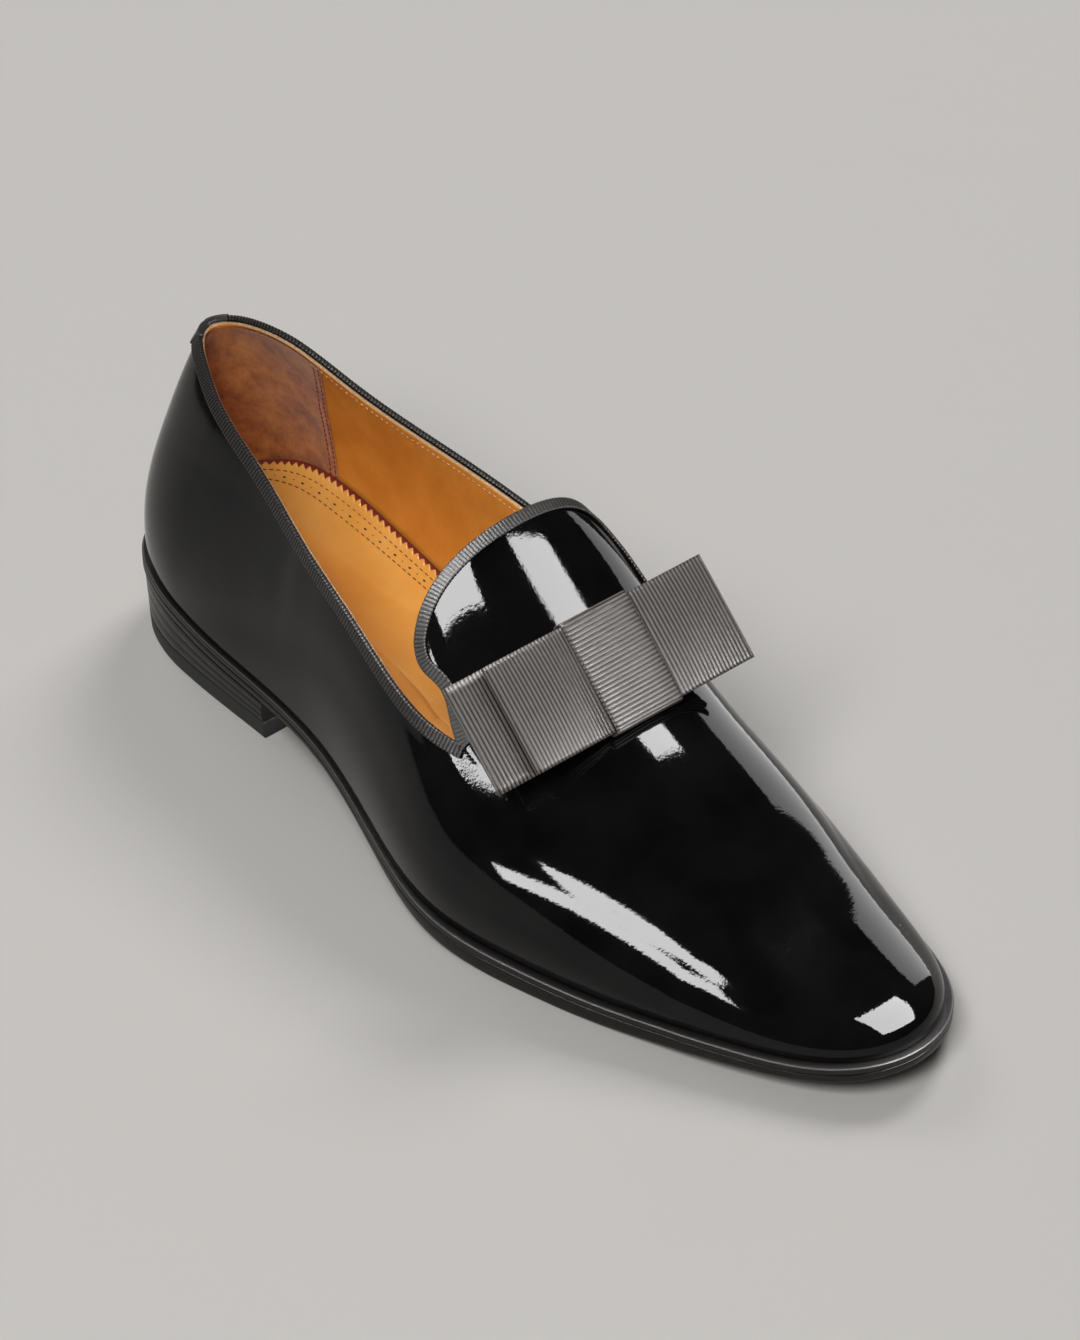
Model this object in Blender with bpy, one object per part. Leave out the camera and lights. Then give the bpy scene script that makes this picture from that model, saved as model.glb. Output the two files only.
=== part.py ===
"""Opera pump: a black patent slip-on evening shoe with a flat ribbon bow.

All sizes below are in millimetres and are turned into metres when an object
is made.  The shoe stands on Z = 0 with its toe toward -Y.  It is a right
shoe, so its outer side is -X.  "s" is the distance from the back of the
heel along the sole, "x" is sideways and "z" is up.
"""
import bmesh
import bpy
import numpy as np

LENGTH = 302.0          # sole length, heel back to toe tip
WALL = 1.8              # leather and lining of the upper together
GAP = 0.3               # clearance between two pieces that meet
WELT_THICK = 1.9        # height of the welt strip
WELT_WIDTH = 8.0        # width of the welt strip, most of it under the upper
WELT_SHOW_HEEL = 1.2    # how far the welt stands out at the heel
WELT_SHOW_TOE = 2.5     # how far the welt stands out round the forepart
INSOLE_THICK = 3.0
HEEL_LENGTH = 76.0      # heel back to breast
HEEL_TAPER = 1.0        # the heel is this much smaller all round at the floor
TOP_PIECE = 6.0         # height of the heel's bottom layer
HEEL_ROUND = 35.7       # length of the rounded back end of the outline
TOE_ROUND = 52.7        # length of the rounded toe end of the outline
NOTCH = 170.0           # station where the collar meets the tongue
NOTCH_TRIM = 9.5        # the bindings stop this far short of the notch
TONGUE_TOP = 138.6      # station of the tongue's free end
SQUARE = 0.31           # rounding of the tongue corners, 0 is square
BINDING_DROP = 1.0      # the leather edge sits this far below the binding's top
RIBBON = 0.55           # ribbon thickness
BOW_WIDTH = 31.5        # ribbon width, measured along the shoe
BOW_HALF = 38.3         # half length of the upper loops
BOW_LEFT = 48.5         # reach of the lower loops toward the outer side
BOW_RIGHT = 36.0        # reach of the lower loops toward the inner side
BOW_DROOP = 4.0         # how far the lower loops hang down at their outer fold
BAND_HALF = 11.5        # half width of the centre band
BOW_AT = (188.1, 2.1, 75.9)   # s, x, z of the middle of the bow's top face
BOW_TILT = 43.0         # slope of the bow's plane, degrees
BOW_TURN = 1.5          # turn of the bow about the upright, degrees
BOW_SINK = -0.8         # the upper loops' top face at the middle, below the ends
BOW_LIFT = 0.8          # how much the upper loops rise toward their folds
BOW_THICK = 1.4         # a loop pressed flat: two ribbons and the air between
TAB_STEPS = 3           # stations covered by the heel tab to each side
COLLAR_INTO = 1         # side of the collar path on which the leather lies
TONGUE_INTO = -1        # the same for the tongue path

# One row per cross-section, from the heel to the toe:
# s, half width, centre x, seat z, edge thickness, crown z, ridge x,
# fullness of the outer side, fullness of the inner side
SECTIONS = (
    (0.0, 31.7, 0.0, 27.9, 5.0, 96.5, 7.5, 1.7, 1.7),
    (20.0, 30.8, 0.1, 25.7, 5.0, 99.2, 7.3, 1.9, 1.5),
    (45.0, 32.0, -0.3, 21.4, 5.0, 104.5, 4.9, 1.8, 1.6),
    (74.0, 32.3, -1.1, 18.8, 4.8, 107.7, 5.5, 2.2, 2.1),
    (105.0, 33.2, -3.5, 16.4, 4.6, 107.4, 7.1, 4.4, 4.4),
    (140.0, 37.8, -8.8, 11.7, 5.0, 92.6, 16.6, 7.5, 8.0),
    (172.0, 44.7, -9.3, 8.4, 6.8, 71.8, 16.7, 5.5, 5.0),
    (203.0, 46.7, -3.4, 7.2, 7.3, 58.8, 7.2, 3.7, 3.0),
    (233.0, 43.0, 0.9, 7.4, 6.7, 45.3, 2.6, 2.6, 2.4),
    (260.0, 37.5, 3.7, 8.8, 5.9, 32.6, -1.7, 2.2, 1.7),
    (283.0, 35.8, 4.8, 10.2, 5.1, 28.6, -1.5, 2.4, 2.0),
    (302.0, 36.8, 3.8, 13.8, 5.2, 35.0, -0.1, 2.8, 2.8),
)
# Top of the collar binding: s, height on the outer side, height on the inner
COLLAR = (
    (0.0, 92.2, 92.2),
    (25.0, 89.5, 96.8),
    (55.0, 84.2, 88.9),
    (85.0, 76.4, 82.1),
    (115.0, 70.4, 75.8),
    (145.0, 61.6, 68.2),
    (170.0, 57.5, 62.5),
)
# Edge of the tongue as a share of the half girth: s, outer side, inner side
TONGUE = (
    (137.0, 0.52, 0.44),
    (148.0, 0.49, 0.44),
    (158.0, 0.435, 0.43),
    (170.0, 0.53, 0.52),
)
# How far the back of the heel is moved forward at each height: z, shift
BACK_CURVE = ((26.0, 0.0), (44.0, 0.2), (64.0, 2.5), (86.0, 6.4), (100.0, 9.4))

for old in list(bpy.data.objects):
    bpy.data.objects.remove(old, do_unlink=True)


def smooth_table(xs, ys, x):
    """Natural cubic spline through the points (xs, ys), read at x."""
    xs, ys = np.asarray(xs, float), np.asarray(ys, float)
    x = np.asarray(x, float)
    n, h = len(xs), np.diff(xs)
    lhs, rhs = np.eye(n), np.zeros(n)
    for i in range(1, n - 1):
        lhs[i, i - 1:i + 2] = h[i - 1], 2 * (h[i - 1] + h[i]), h[i]
        rhs[i] = 6 * ((ys[i + 1] - ys[i]) / h[i] - (ys[i] - ys[i - 1]) / h[i - 1])
    m = np.linalg.solve(lhs, rhs)
    k = np.clip(np.searchsorted(xs, x) - 1, 0, n - 2)
    a, b = (xs[k + 1] - x) / h[k], (x - xs[k]) / h[k]
    bend = ((a ** 3 - a) * m[k] + (b ** 3 - b) * m[k + 1]) * h[k] ** 2 / 6
    return a * ys[k] + b * ys[k + 1] + bend


def column(table, i, s):
    """Column i of a table of rows, read smoothly at s."""
    rows = np.array(table)
    return smooth_table(rows[:, 0], rows[:, i], s)


def inset_station(s, inset):
    """Station on the full outline that belongs to s on an outline moved in by inset."""
    return np.clip((s - inset) / (LENGTH - 2 * inset) * LENGTH, 0, LENGTH)


def end_factors(t):
    """Rounding of the outline toward the heel and toward the toe, 1 in between."""
    back = np.clip(1 - t / HEEL_ROUND, 0, 1)
    front = np.clip((t - LENGTH + TOE_ROUND) / TOE_ROUND, 0, 1)
    return (1 - back ** 2.2) ** (1 / 2.2), np.sqrt(1 - front ** 2), front


def outline(s, side, inset=0.0):
    """x of the sole's edge at s, side -1 outer or +1 inner, moved in by inset."""
    heel, toe, _ = end_factors(inset_station(s, inset))
    half = (column(SECTIONS, 1, s) - inset) * heel * toe
    return column(SECTIONS, 2, s) + side * half


def welt_show(s):
    """Width of welt left showing outside the upper at s."""
    grow = 1 / (1 + np.exp(-(s - 165) / 12))
    return WELT_SHOW_HEEL + (WELT_SHOW_TOE - WELT_SHOW_HEEL) * grow


def seat(s):
    """Height of the welt's top at s."""
    return column(SECTIONS, 3, s)


def underside(s):
    """Height of the outsole's lower face at s, flat on the floor under the ball."""
    return np.maximum(seat(s) - column(SECTIONS, 4, s), 0.0)


def last_surface(s, theta):
    """Outside of the upper at station s and girth theta.

    theta is -1 at the outer feather line, 0 on the ridge and +1 at the inner
    feather line.  Returns the points as an array (..., 3) of s, x, z.
    """
    s, theta = np.broadcast_arrays(np.asarray(s, float), np.asarray(theta, float))
    t = inset_station(s, welt_show(s))
    heel, toe, front = end_factors(t)
    rise = np.cos(theta * np.pi / 2)
    half = (column(SECTIONS, 1, s) - welt_show(s)) * heel * toe
    foot = seat(s) + GAP
    tall = (column(SECTIONS, 5, s) - foot) * np.sqrt(1 - front ** 2.6)
    full = np.where(theta < 0, column(SECTIONS, 7, s), column(SECTIONS, 8, s))
    side = np.sqrt(np.clip(1 - rise ** full, 0, 1))
    belly = 1 + 0.05 * np.sin(np.pi * np.clip(rise / 0.6, 0, 1)) * toe
    x = column(SECTIONS, 2, s) + column(SECTIONS, 6, s) * toe * rise ** 2
    x = x + np.sign(theta) * half * side * belly
    z = foot + tall * rise
    fade = np.clip(1 - s / 75, 0, 1)
    fade = fade * fade * (3 - 2 * fade)
    lean = column(BACK_CURVE, 1, np.clip(z, 26, 100))
    return np.stack([s + lean * fade, x, z], -1)


def unit(v):
    """Vectors v scaled to length one."""
    return v / np.maximum(np.linalg.norm(v, axis=-1, keepdims=True), 1e-9)


def collar_theta(s, side, drop=BINDING_DROP):
    """Girth position of the collar edge at s, drop below the binding's top."""
    top = column(COLLAR, 1 if side < 0 else 2, s) - drop
    foot = seat(s) + GAP
    rise = np.clip((top - foot) / (column(SECTIONS, 5, s) - foot), 0, 0.995)
    return side * np.arccos(rise) * 2 / np.pi


QUARTER_ROWS = 9        # faces from the feather line up to the collar
TONGUE_COLS = 18        # faces across the tongue
HEEL_STEPS = 19         # stations along each quarter
VAMP_STEPS = 10         # stations from the notch to the toe block
TONGUE_STEPS = 11       # stations along the tongue


def notch_thetas():
    """Girth positions of the nodes of the section at the notch."""
    low, high = collar_theta(NOTCH, -1), collar_theta(NOTCH, 1)
    return np.concatenate([np.linspace(-1, low, QUARTER_ROWS + 1),
                           np.linspace(low, high, TONGUE_COLS + 1)[1:],
                           np.linspace(high, 1, QUARTER_ROWS + 1)[1:]])


def toe_block():
    """Stations and girths of the toe grid, a square grid bent onto a half disc."""
    a = np.linspace(-1, 1, TONGUE_COLS + 1)[:, None]
    b = np.linspace(0, 1, QUARTER_ROWS + 1)[None, :]
    x, y = a * np.sqrt(1 - b ** 2 / 2), b * np.sqrt(1 - a ** 2 / 2)
    radius = np.clip(np.hypot(x, y), 0, 1)
    reach = np.sqrt(1 - radius ** 2)
    full = LENGTH - TOE_ROUND + TOE_ROUND * reach
    s = full.copy()
    for _ in range(4):
        inset = welt_show(s)
        s = inset + full / LENGTH * (LENGTH - 2 * inset)
    theta = 1 - np.arctan2(y, x) * 2 / np.pi
    return s, np.where(radius < 1e-9, 0.0, theta)


def upper_grids():
    """The upper as four grids of (s, theta): quarters, vamp, tongue, toe."""
    start = welt_show(0.0)
    turn = np.linspace(0, np.pi / 2, HEEL_STEPS)
    back = start + (NOTCH - NOTCH_TRIM - start) * (1 - np.sin(turn)) ** 1.2
    back = np.concatenate([[NOTCH], back])
    share = np.linspace(0, 1, QUARTER_ROWS + 1)[None, :]
    near = -1 + (collar_theta(back, -1)[:, None] + 1) * share
    far = 1 + (collar_theta(back, 1)[:, None] - 1) * share
    quarter_s = np.concatenate([back, back[-2::-1]])[:, None] + 0 * share
    quarter_t = np.concatenate([near, far[-2::-1]])
    toe_s, toe_t = toe_block()
    rim = np.concatenate([toe_t[0, :], toe_t[1:, -1], toe_t[-1, -2::-1]])
    start = float(toe_s[0, -1])
    vamp = np.linspace(NOTCH, start, VAMP_STEPS + 1)
    mix = (vamp - NOTCH) / (start - NOTCH)
    mix = (mix * mix * (3 - 2 * mix))[:, None]
    vamp_t = notch_thetas()[None, :] * (1 - mix) + rim[None, :] * mix
    vamp_s = vamp[:, None] + 0 * vamp_t
    a = np.linspace(-1, 1, TONGUE_COLS + 1)[None, :]
    b = np.linspace(0, 1, TONGUE_STEPS + 1)[:, None]
    u, v = a * np.sqrt(1 - b ** 4 * SQUARE), b * np.sqrt(1 - a ** 4 * SQUARE)
    tongue_s = NOTCH + (TONGUE_TOP - NOTCH) * v
    low, high = collar_theta(NOTCH, -1), collar_theta(NOTCH, 1)
    left = column(TONGUE, 1, tongue_s) + (-low - column(TONGUE, 1, NOTCH)) * (1 - v)
    right = column(TONGUE, 2, tongue_s) + (high - column(TONGUE, 2, NOTCH)) * (1 - v)
    tongue_t = np.where(u < 0, u * left, u * right)
    line = notch_thetas()[QUARTER_ROWS:QUARTER_ROWS + TONGUE_COLS + 1]
    keep = (1 - b) ** 2
    tongue_t = tongue_t * (1 - keep) + line[None, :] * keep
    return ((quarter_s, quarter_t), (vamp_s, vamp_t), (tongue_s, tongue_t), (toe_s, toe_t))


def to_world(points):
    """Points (s, x, z) in millimetres to X, Y, Z in metres."""
    p = np.asarray(points, float)
    world = np.stack([p[..., 1] - SHIFT[1], LENGTH / 2 - p[..., 0] - SHIFT[0], p[..., 2]], -1)
    return world * 0.001


def make_object(name, points, faces, color, roughness=0.5, metallic=0.0, smooth=True):
    """One named object with its own material from points (s, x, z) and faces."""
    mesh = bpy.data.meshes.new(name)
    mesh.from_pydata(to_world(points).tolist(), [], [list(f) for f in faces])
    mesh.validate()
    mesh.update()
    obj = bpy.data.objects.new(name, mesh)
    bpy.context.scene.collection.objects.link(obj)
    mat = bpy.data.materials.new(name + "_material")
    mat.use_nodes = True
    node = mat.node_tree.nodes["Principled BSDF"]
    node.inputs["Base Color"].default_value = (*color, 1.0)
    node.inputs["Roughness"].default_value = roughness
    node.inputs["Metallic"].default_value = metallic
    mesh.materials.append(mat)
    for poly in mesh.polygons:
        poly.use_smooth = smooth
    return obj


def grid_faces(index, flip=False):
    """Quads of a grid of vertex numbers."""
    a, b = index[:-1, :-1], index[1:, :-1]
    c, d = index[1:, 1:], index[:-1, 1:]
    order = (a, d, c, b) if flip else (a, b, c, d)
    quads = np.stack(order, -1).reshape(-1, 4)
    return [tuple(q) for q in quads.tolist()]


def outward(points, normals):
    """Turn the normals so that they point out of the shoe."""
    middle = np.clip(points[..., 0], 40, 262)
    core = np.stack([middle, column(SECTIONS, 2, middle), 0.5 * points[..., 2]], -1)
    sign = np.sign(np.sum((points - core) * normals, -1, keepdims=True))
    return normals * sign


def skin_normals(s, theta):
    """Outward unit normals of the upper at (s, theta)."""
    e = 2e-3
    ds = last_surface(s + 0.05, theta) - last_surface(s - 0.05, theta)
    dt = last_surface(s, np.clip(theta + e, -1, 1)) - last_surface(s, np.clip(theta - e, -1, 1))
    return outward(last_surface(s, theta), unit(np.cross(ds, dt)))


def build_upper():
    """The upper: an outer and an inner skin, joined at the collar and the feather line."""
    outer, push, numbers, faces = [], [], {}, []
    for s, theta in upper_grids():
        here, normal = last_surface(s, theta), skin_normals(s, theta)
        normal[np.abs(np.abs(theta) - 1) < 1e-9, 2] = 0
        index = np.zeros(s.shape, int)
        for i in np.ndindex(s.shape):
            key = tuple(np.round(here[i], 3))
            if key not in numbers:
                numbers[key] = len(outer)
                outer.append(here[i])
                push.append(np.zeros(3))
            push[numbers[key]] = push[numbers[key]] + unit(normal[i])
            index[i] = numbers[key]
        faces += grid_faces(index)
    outer, push = np.array(outer), unit(np.array(push))
    inner = outer - push * WALL
    count = len(outer)
    edges = {}
    clean = []
    for face in faces:
        ids = [v for i, v in enumerate(face) if v != face[i - 1]]
        if len(set(ids)) < 3:
            continue
        clean.append(tuple(ids))
        for a, b in zip(ids, ids[1:] + ids[:1]):
            edges.setdefault((min(a, b), max(a, b)), []).append((a, b))
    solid = clean + [tuple(v + count for v in face[::-1]) for face in clean]
    for uses in edges.values():
        if len(uses) == 1:
            a, b = uses[0]
            solid.append((b, a, a + count, b + count))
    return np.concatenate([outer, inner]), solid


def frame_along(s, theta, into):
    """Points, outward normals and directions into the leather along an edge path.

    into is +1 or -1 and says on which side of the path the leather lies.
    """
    here, normal = last_surface(s, theta), skin_normals(s, theta)
    tangent = unit(np.gradient(here, axis=0))
    return here, normal, unit(np.cross(normal, tangent)) * into


def edge_strip(s, theta, into, profile):
    """A strip of constant profile (into the leather, outward) carried along an edge."""
    here, normal, down = frame_along(s, theta, into)
    rings = np.stack([here + down * a + normal * b for a, b in profile], 1)
    count, size = rings.shape[:2]
    index = np.arange(count * size).reshape(count, size)
    faces = grid_faces(np.concatenate([index, index[:, :1]], 1))
    faces.append(tuple(int(i) for i in index[0]))
    faces.append(tuple(int(i) for i in index[-1][::-1]))
    return rings.reshape(-1, 3), faces


def inset_row(s, inset):
    """Stations s squeezed so that the row starts and ends inset from the tips."""
    return inset + s * (LENGTH - 2 * inset) / LENGTH


def edge_loop(s, inset, height, end=LENGTH):
    """Closed loop of points round the sole, moved in by inset, height(s) high."""
    row = np.minimum(inset_row(s, inset), end)
    near = np.stack([row, outline(row, -1, inset), height(row)], -1)
    far = np.stack([row, outline(row, 1, inset), height(row)], -1)
    return np.concatenate([near, far[::-1]])


def stack_loops(loops, closed=False):
    """Solid from loops of equal size: a capped stack, or a ring when closed."""
    size = len(loops[0])
    points = np.concatenate(loops)
    index = np.arange(len(points)).reshape(len(loops), size)
    wrap = np.concatenate([index, index[:, :1]], 1)
    if closed:
        wrap = np.concatenate([wrap, wrap[:1]], 0)
    faces = grid_faces(wrap)
    if not closed:
        half = size // 2
        for ring, turn in ((index[0], 1), (index[-1], -1)):
            for i in range(half - 1):
                quad = (ring[i], ring[i + 1], ring[size - 2 - i], ring[size - 1 - i])
                faces.append(tuple(int(v) for v in quad[::turn]))
    return merge_points(points, faces)


def merge_points(points, faces, near=1e-4):
    """Join points that fall together and drop the faces that collapse."""
    keys, remap, kept = {}, [], []
    for p in points:
        key = tuple(np.round(p / near).astype(int).tolist())
        if key not in keys:
            keys[key] = len(kept)
            kept.append(p)
        remap.append(keys[key])
    clean = []
    for face in faces:
        ids = [remap[i] for i in face]
        ids = [v for i, v in enumerate(ids) if v != ids[i - 1]]
        if len(set(ids)) > 2:
            clean.append(tuple(ids))
    return np.array(kept), clean


def stations(start, end, count):
    """Stations bunched toward both ends, where the outline is round."""
    return start + (end - start) * (1 - np.cos(np.linspace(0, np.pi, count))) / 2


def bow_point(along, across, out):
    """Point of the bow: along the ribbon, across it toward the toe, out of the shoe."""
    tilt, turn = np.radians(BOW_TILT), np.radians(BOW_TURN)
    e_along = np.array([np.sin(turn), np.cos(turn), 0.0])
    e_across = np.array([np.cos(tilt) * np.cos(turn), -np.cos(tilt) * np.sin(turn), -np.sin(tilt)])
    e_out = np.array([np.sin(tilt) * np.cos(turn), -np.sin(tilt) * np.sin(turn), np.cos(tilt)])
    along, across, out = [np.asarray(v, float)[..., None] for v in (along, across, out)]
    return np.array(BOW_AT) + along * e_along + across * e_across + out * e_out


def flat_loop(left, right, top, drop, thick, thick_end, steps=12):
    """Outline of a flattened ribbon loop in (along, out), from left to right.

    Under the band it is flat, thick high and has its upper side at top.  Outside
    the band it falls by drop and opens to thick_end at its two folds.
    """
    radius = thick_end / 2
    run = np.linspace(left + radius, right - radius, steps + 1)
    share = (np.clip(np.abs(run) - BAND_HALF, 0, None) / (BOW_LEFT - BAND_HALF)) ** 2
    high = top - drop * share
    low = high - thick - (thick_end - thick) * np.clip(share * 1.8, 0, 1)
    fold = np.linspace(90, -90, 6)[1:-1] * np.pi / 180
    ends = []
    for i, way in ((-1, 1), (0, -1)):
        mid, size = (high[i] + low[i]) / 2, (high[i] - low[i]) / 2
        turn = np.stack([run[i] + way * radius * np.cos(fold), mid + way * size * np.sin(fold)], -1)
        ends.append(turn)
    upper, lower = np.stack([run, high], -1), np.stack([run, low], -1)[::-1]
    return np.concatenate([upper, ends[0], lower, ends[1]])


def shrink(loop, amount):
    """Closed clockwise loop moved inward by amount."""
    edge = unit(np.roll(loop, -1, 0) - np.roll(loop, 1, 0))
    return loop + np.stack([edge[:, 1], -edge[:, 0]], -1) * amount


def ribbon_ring(outer, thick, places, lay):
    """Ribbon bent into a closed loop: outline outer, carried over places by lay."""
    inner = shrink(outer, thick)
    rings = [lay(loop, place) for loop in (outer, inner) for place in places]
    count, size, steps = len(outer), len(rings[0]), len(places)
    points = np.concatenate(rings)
    index = np.arange(len(points)).reshape(2 * steps, size)
    order = list(range(steps)) + list(range(2 * steps - 1, steps - 1, -1))
    index = index[order]
    wrap = np.concatenate([index, index[:, :1]], 1)
    wrap = np.concatenate([wrap, wrap[:1]], 0)
    return points, grid_faces(wrap)


def build_bow():
    """The bow: two flat loops of ribbon, one on the other, and the band round both."""
    places = (-BOW_WIDTH / 2, 0.0, BOW_WIDTH / 2)
    upper = flat_loop(-BOW_HALF, BOW_HALF, BOW_SINK, -BOW_LIFT, BOW_THICK, 3.4)
    lower = flat_loop(-BOW_LEFT, BOW_RIGHT, BOW_SINK - BOW_THICK - GAP, BOW_DROOP, BOW_THICK, 2.6)

    def lay_loop(loop, place):
        return bow_point(loop[:, 0], place, loop[:, 1])

    half, round_off = BOW_WIDTH / 2 + GAP + RIBBON, 0.9
    top, low = BOW_SINK + GAP + RIBBON, BOW_SINK - 2 * BOW_THICK - 2.6 * GAP - RIBBON
    band = np.array([
        (-half, top - round_off), (-half + round_off, top), (half - round_off, top),
        (half, top - round_off), (half, low + round_off), (half - round_off, low),
        (-half + round_off, low), (-half, low + round_off)])

    def lay_band(loop, place):
        return bow_point(place, loop[:, 0], loop[:, 1])

    return {
        "bow_upper_loops": ribbon_ring(upper, RIBBON, places, lay_loop),
        "bow_lower_loops": ribbon_ring(lower, RIBBON, places, lay_loop),
        "bow_band": ribbon_ring(band, RIBBON, (-BAND_HALF, 0.0, BAND_HALF), lay_band),
    }


def build_pieces():
    """Every piece as name -> (points, faces)."""
    pieces = {"upper": build_upper()}
    full = stations(0, LENGTH, 44)
    pieces["outsole"] = stack_loops([
        edge_loop(full, 0.8, underside),
        edge_loop(full, 0.0, lambda s: underside(s) + 0.9),
        edge_loop(full, 0.0, lambda s: seat(s) - WELT_THICK - GAP)])
    pieces["welt"] = stack_loops([
        edge_loop(full, 0.0, lambda s: seat(s) - WELT_THICK),
        edge_loop(full, 0.0, seat),
        edge_loop(full, WELT_WIDTH, seat),
        edge_loop(full, WELT_WIDTH, lambda s: seat(s) - WELT_THICK)], closed=True)

    def sock_loop(height):
        inset = welt_show(full) + WALL + 0.8
        row = inset + full * (LENGTH - 2 * inset) / LENGTH
        near = np.stack([row, outline(row, -1, inset), height(row)], -1)
        far = np.stack([row, outline(row, 1, inset), height(row)], -1)
        return np.concatenate([near, far[::-1]])

    pieces["insole"] = stack_loops([sock_loop(lambda s: seat(s) + GAP),
                                    sock_loop(lambda s: seat(s) + GAP + INSOLE_THICK)])
    heel = np.concatenate([stations(0, 2 * HEEL_ROUND, 24)[:12],
                           np.linspace(HEEL_ROUND + 4, HEEL_LENGTH, 5)])
    pieces["heel_stack"] = stack_loops([
        edge_loop(heel, HEEL_TAPER, lambda s: 0 * s + TOP_PIECE + GAP, HEEL_LENGTH),
        edge_loop(heel, 0.4, lambda s: underside(s) - GAP, HEEL_LENGTH)])
    pieces["heel_top_piece"] = stack_loops([
        edge_loop(heel, HEEL_TAPER + 0.2, lambda s: 0 * s, HEEL_LENGTH),
        edge_loop(heel, HEEL_TAPER, lambda s: 0 * s + TOP_PIECE, HEEL_LENGTH)])
    (qs, qt), _, (ts, tt), _ = upper_grids()
    rim_s, rim_t = qs[1:-1, -1], qt[1:-1, -1]
    profile = ((3.3, 0.5), (3.3, 1.05), (-0.5, 0.9), (-0.95, 0.5), (-0.95, -0.5),
               (-0.7, -0.8), (-0.3, -0.8), (-0.3, 0.35))
    pieces["collar_binding"] = edge_strip(rim_s, rim_t, COLLAR_INTO, profile)
    free = 4
    path_s = np.concatenate([ts[free:, 0], ts[-1, 1:-1], ts[free:, -1][::-1]])
    path_t = np.concatenate([tt[free:, 0], tt[-1, 1:-1], tt[free:, -1][::-1]])
    looser = ((3.3, 0.7), (3.3, 1.25), (-0.5, 1.0), (-1.1, 0.5), (-1.1, -0.5),
              (-0.85, -0.8), (-0.45, -0.8), (-0.45, 0.45))
    pieces["tongue_binding"] = edge_strip(path_s, path_t, TONGUE_INTO, looser)
    middle = len(rim_s) // 2
    tab = slice(middle - TAB_STEPS, middle + TAB_STEPS + 1)
    tab_profile = ((3.6, 1.4), (3.6, 1.9), (-1.1, 1.75), (-1.75, 1.1), (-1.75, -0.8),
                   (-1.25, -0.8), (-1.25, 0.8), (-0.8, 1.2))
    pieces["heel_tab"] = edge_strip(rim_s[tab], rim_t[tab], COLLAR_INTO, tab_profile)
    pieces.update(build_bow())
    return pieces


COLORS = {
    "upper": ((0.010, 0.010, 0.011), 0.12),
    "outsole": ((0.020, 0.017, 0.016), 0.45),
    "welt": ((0.024, 0.021, 0.020), 0.40),
    "insole": ((0.62, 0.36, 0.13), 0.55),
    "heel_stack": ((0.020, 0.017, 0.016), 0.40),
    "heel_top_piece": ((0.018, 0.018, 0.018), 0.65),
    "collar_binding": ((0.030, 0.028, 0.028), 0.80),
    "tongue_binding": ((0.030, 0.028, 0.028), 0.80),
    "heel_tab": ((0.035, 0.033, 0.033), 0.50),
    "bow_upper_loops": ((0.055, 0.050, 0.047), 0.75),
    "bow_lower_loops": ((0.055, 0.050, 0.047), 0.75),
    "bow_band": ((0.055, 0.050, 0.047), 0.75),
}
FLAT = ("outsole", "welt", "insole", "heel_stack", "heel_top_piece")

parts = build_pieces()
every = np.concatenate([points for points, _ in parts.values()])
low, high = every.min(0), every.max(0)
SHIFT = (LENGTH / 2 - (low[0] + high[0]) / 2, (low[1] + high[1]) / 2)
print("shift of s and x, mm:", np.round(SHIFT, 3), "size:", np.round(high - low, 2))
for name, (points, faces) in parts.items():
    color, rough = COLORS[name]
    body = make_object(name, points, faces, color, rough, smooth=name not in FLAT)
    shell = bmesh.new()
    shell.from_mesh(body.data)
    bmesh.ops.recalc_face_normals(shell, faces=shell.faces[:])
    shell.to_mesh(body.data)
    shell.free()
    print(name, len(points), "points", len(faces), "faces")
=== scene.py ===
# %% [markdown]
# # Opera pump in black patent leather
# The shoe is one hollow shell of patent leather on a welted leather sole, with
# ribbed ribbon round its edges and a flat double bow.  The CAD model gives
# every piece its place and size.  This lesson dresses it: each piece is a
# surface worked out with numpy from one set of tables, and each gets a
# material made from nodes.

import bmesh
import bpy
import numpy as np
from mathutils import Matrix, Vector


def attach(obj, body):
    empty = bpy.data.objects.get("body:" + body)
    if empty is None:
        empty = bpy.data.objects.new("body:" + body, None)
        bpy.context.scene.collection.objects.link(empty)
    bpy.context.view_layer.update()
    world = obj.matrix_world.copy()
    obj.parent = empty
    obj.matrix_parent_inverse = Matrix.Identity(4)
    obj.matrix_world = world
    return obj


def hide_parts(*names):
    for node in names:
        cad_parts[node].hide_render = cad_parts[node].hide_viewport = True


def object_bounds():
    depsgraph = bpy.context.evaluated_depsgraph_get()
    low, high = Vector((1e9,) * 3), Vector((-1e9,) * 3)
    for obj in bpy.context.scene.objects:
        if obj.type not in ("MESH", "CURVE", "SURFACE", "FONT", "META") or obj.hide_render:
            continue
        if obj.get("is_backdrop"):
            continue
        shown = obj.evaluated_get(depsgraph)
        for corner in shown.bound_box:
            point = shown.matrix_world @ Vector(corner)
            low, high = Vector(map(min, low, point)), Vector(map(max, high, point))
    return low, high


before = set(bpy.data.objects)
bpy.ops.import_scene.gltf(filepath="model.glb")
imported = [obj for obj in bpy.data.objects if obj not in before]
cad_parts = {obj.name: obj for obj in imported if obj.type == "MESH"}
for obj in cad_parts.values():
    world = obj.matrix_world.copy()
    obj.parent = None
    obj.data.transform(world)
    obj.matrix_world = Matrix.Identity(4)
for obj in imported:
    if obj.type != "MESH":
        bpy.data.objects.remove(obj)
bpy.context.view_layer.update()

# %% [markdown]
# ## The last
# A shoemaker starts from a last, the wooden foot that gives the shoe its shape.
# Here the last is a table with a row for each cross-section, from the heel to
# the toe.  s is the distance from the back of the heel in millimetres.  A
# smooth curve through each column gives every section in between.

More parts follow.
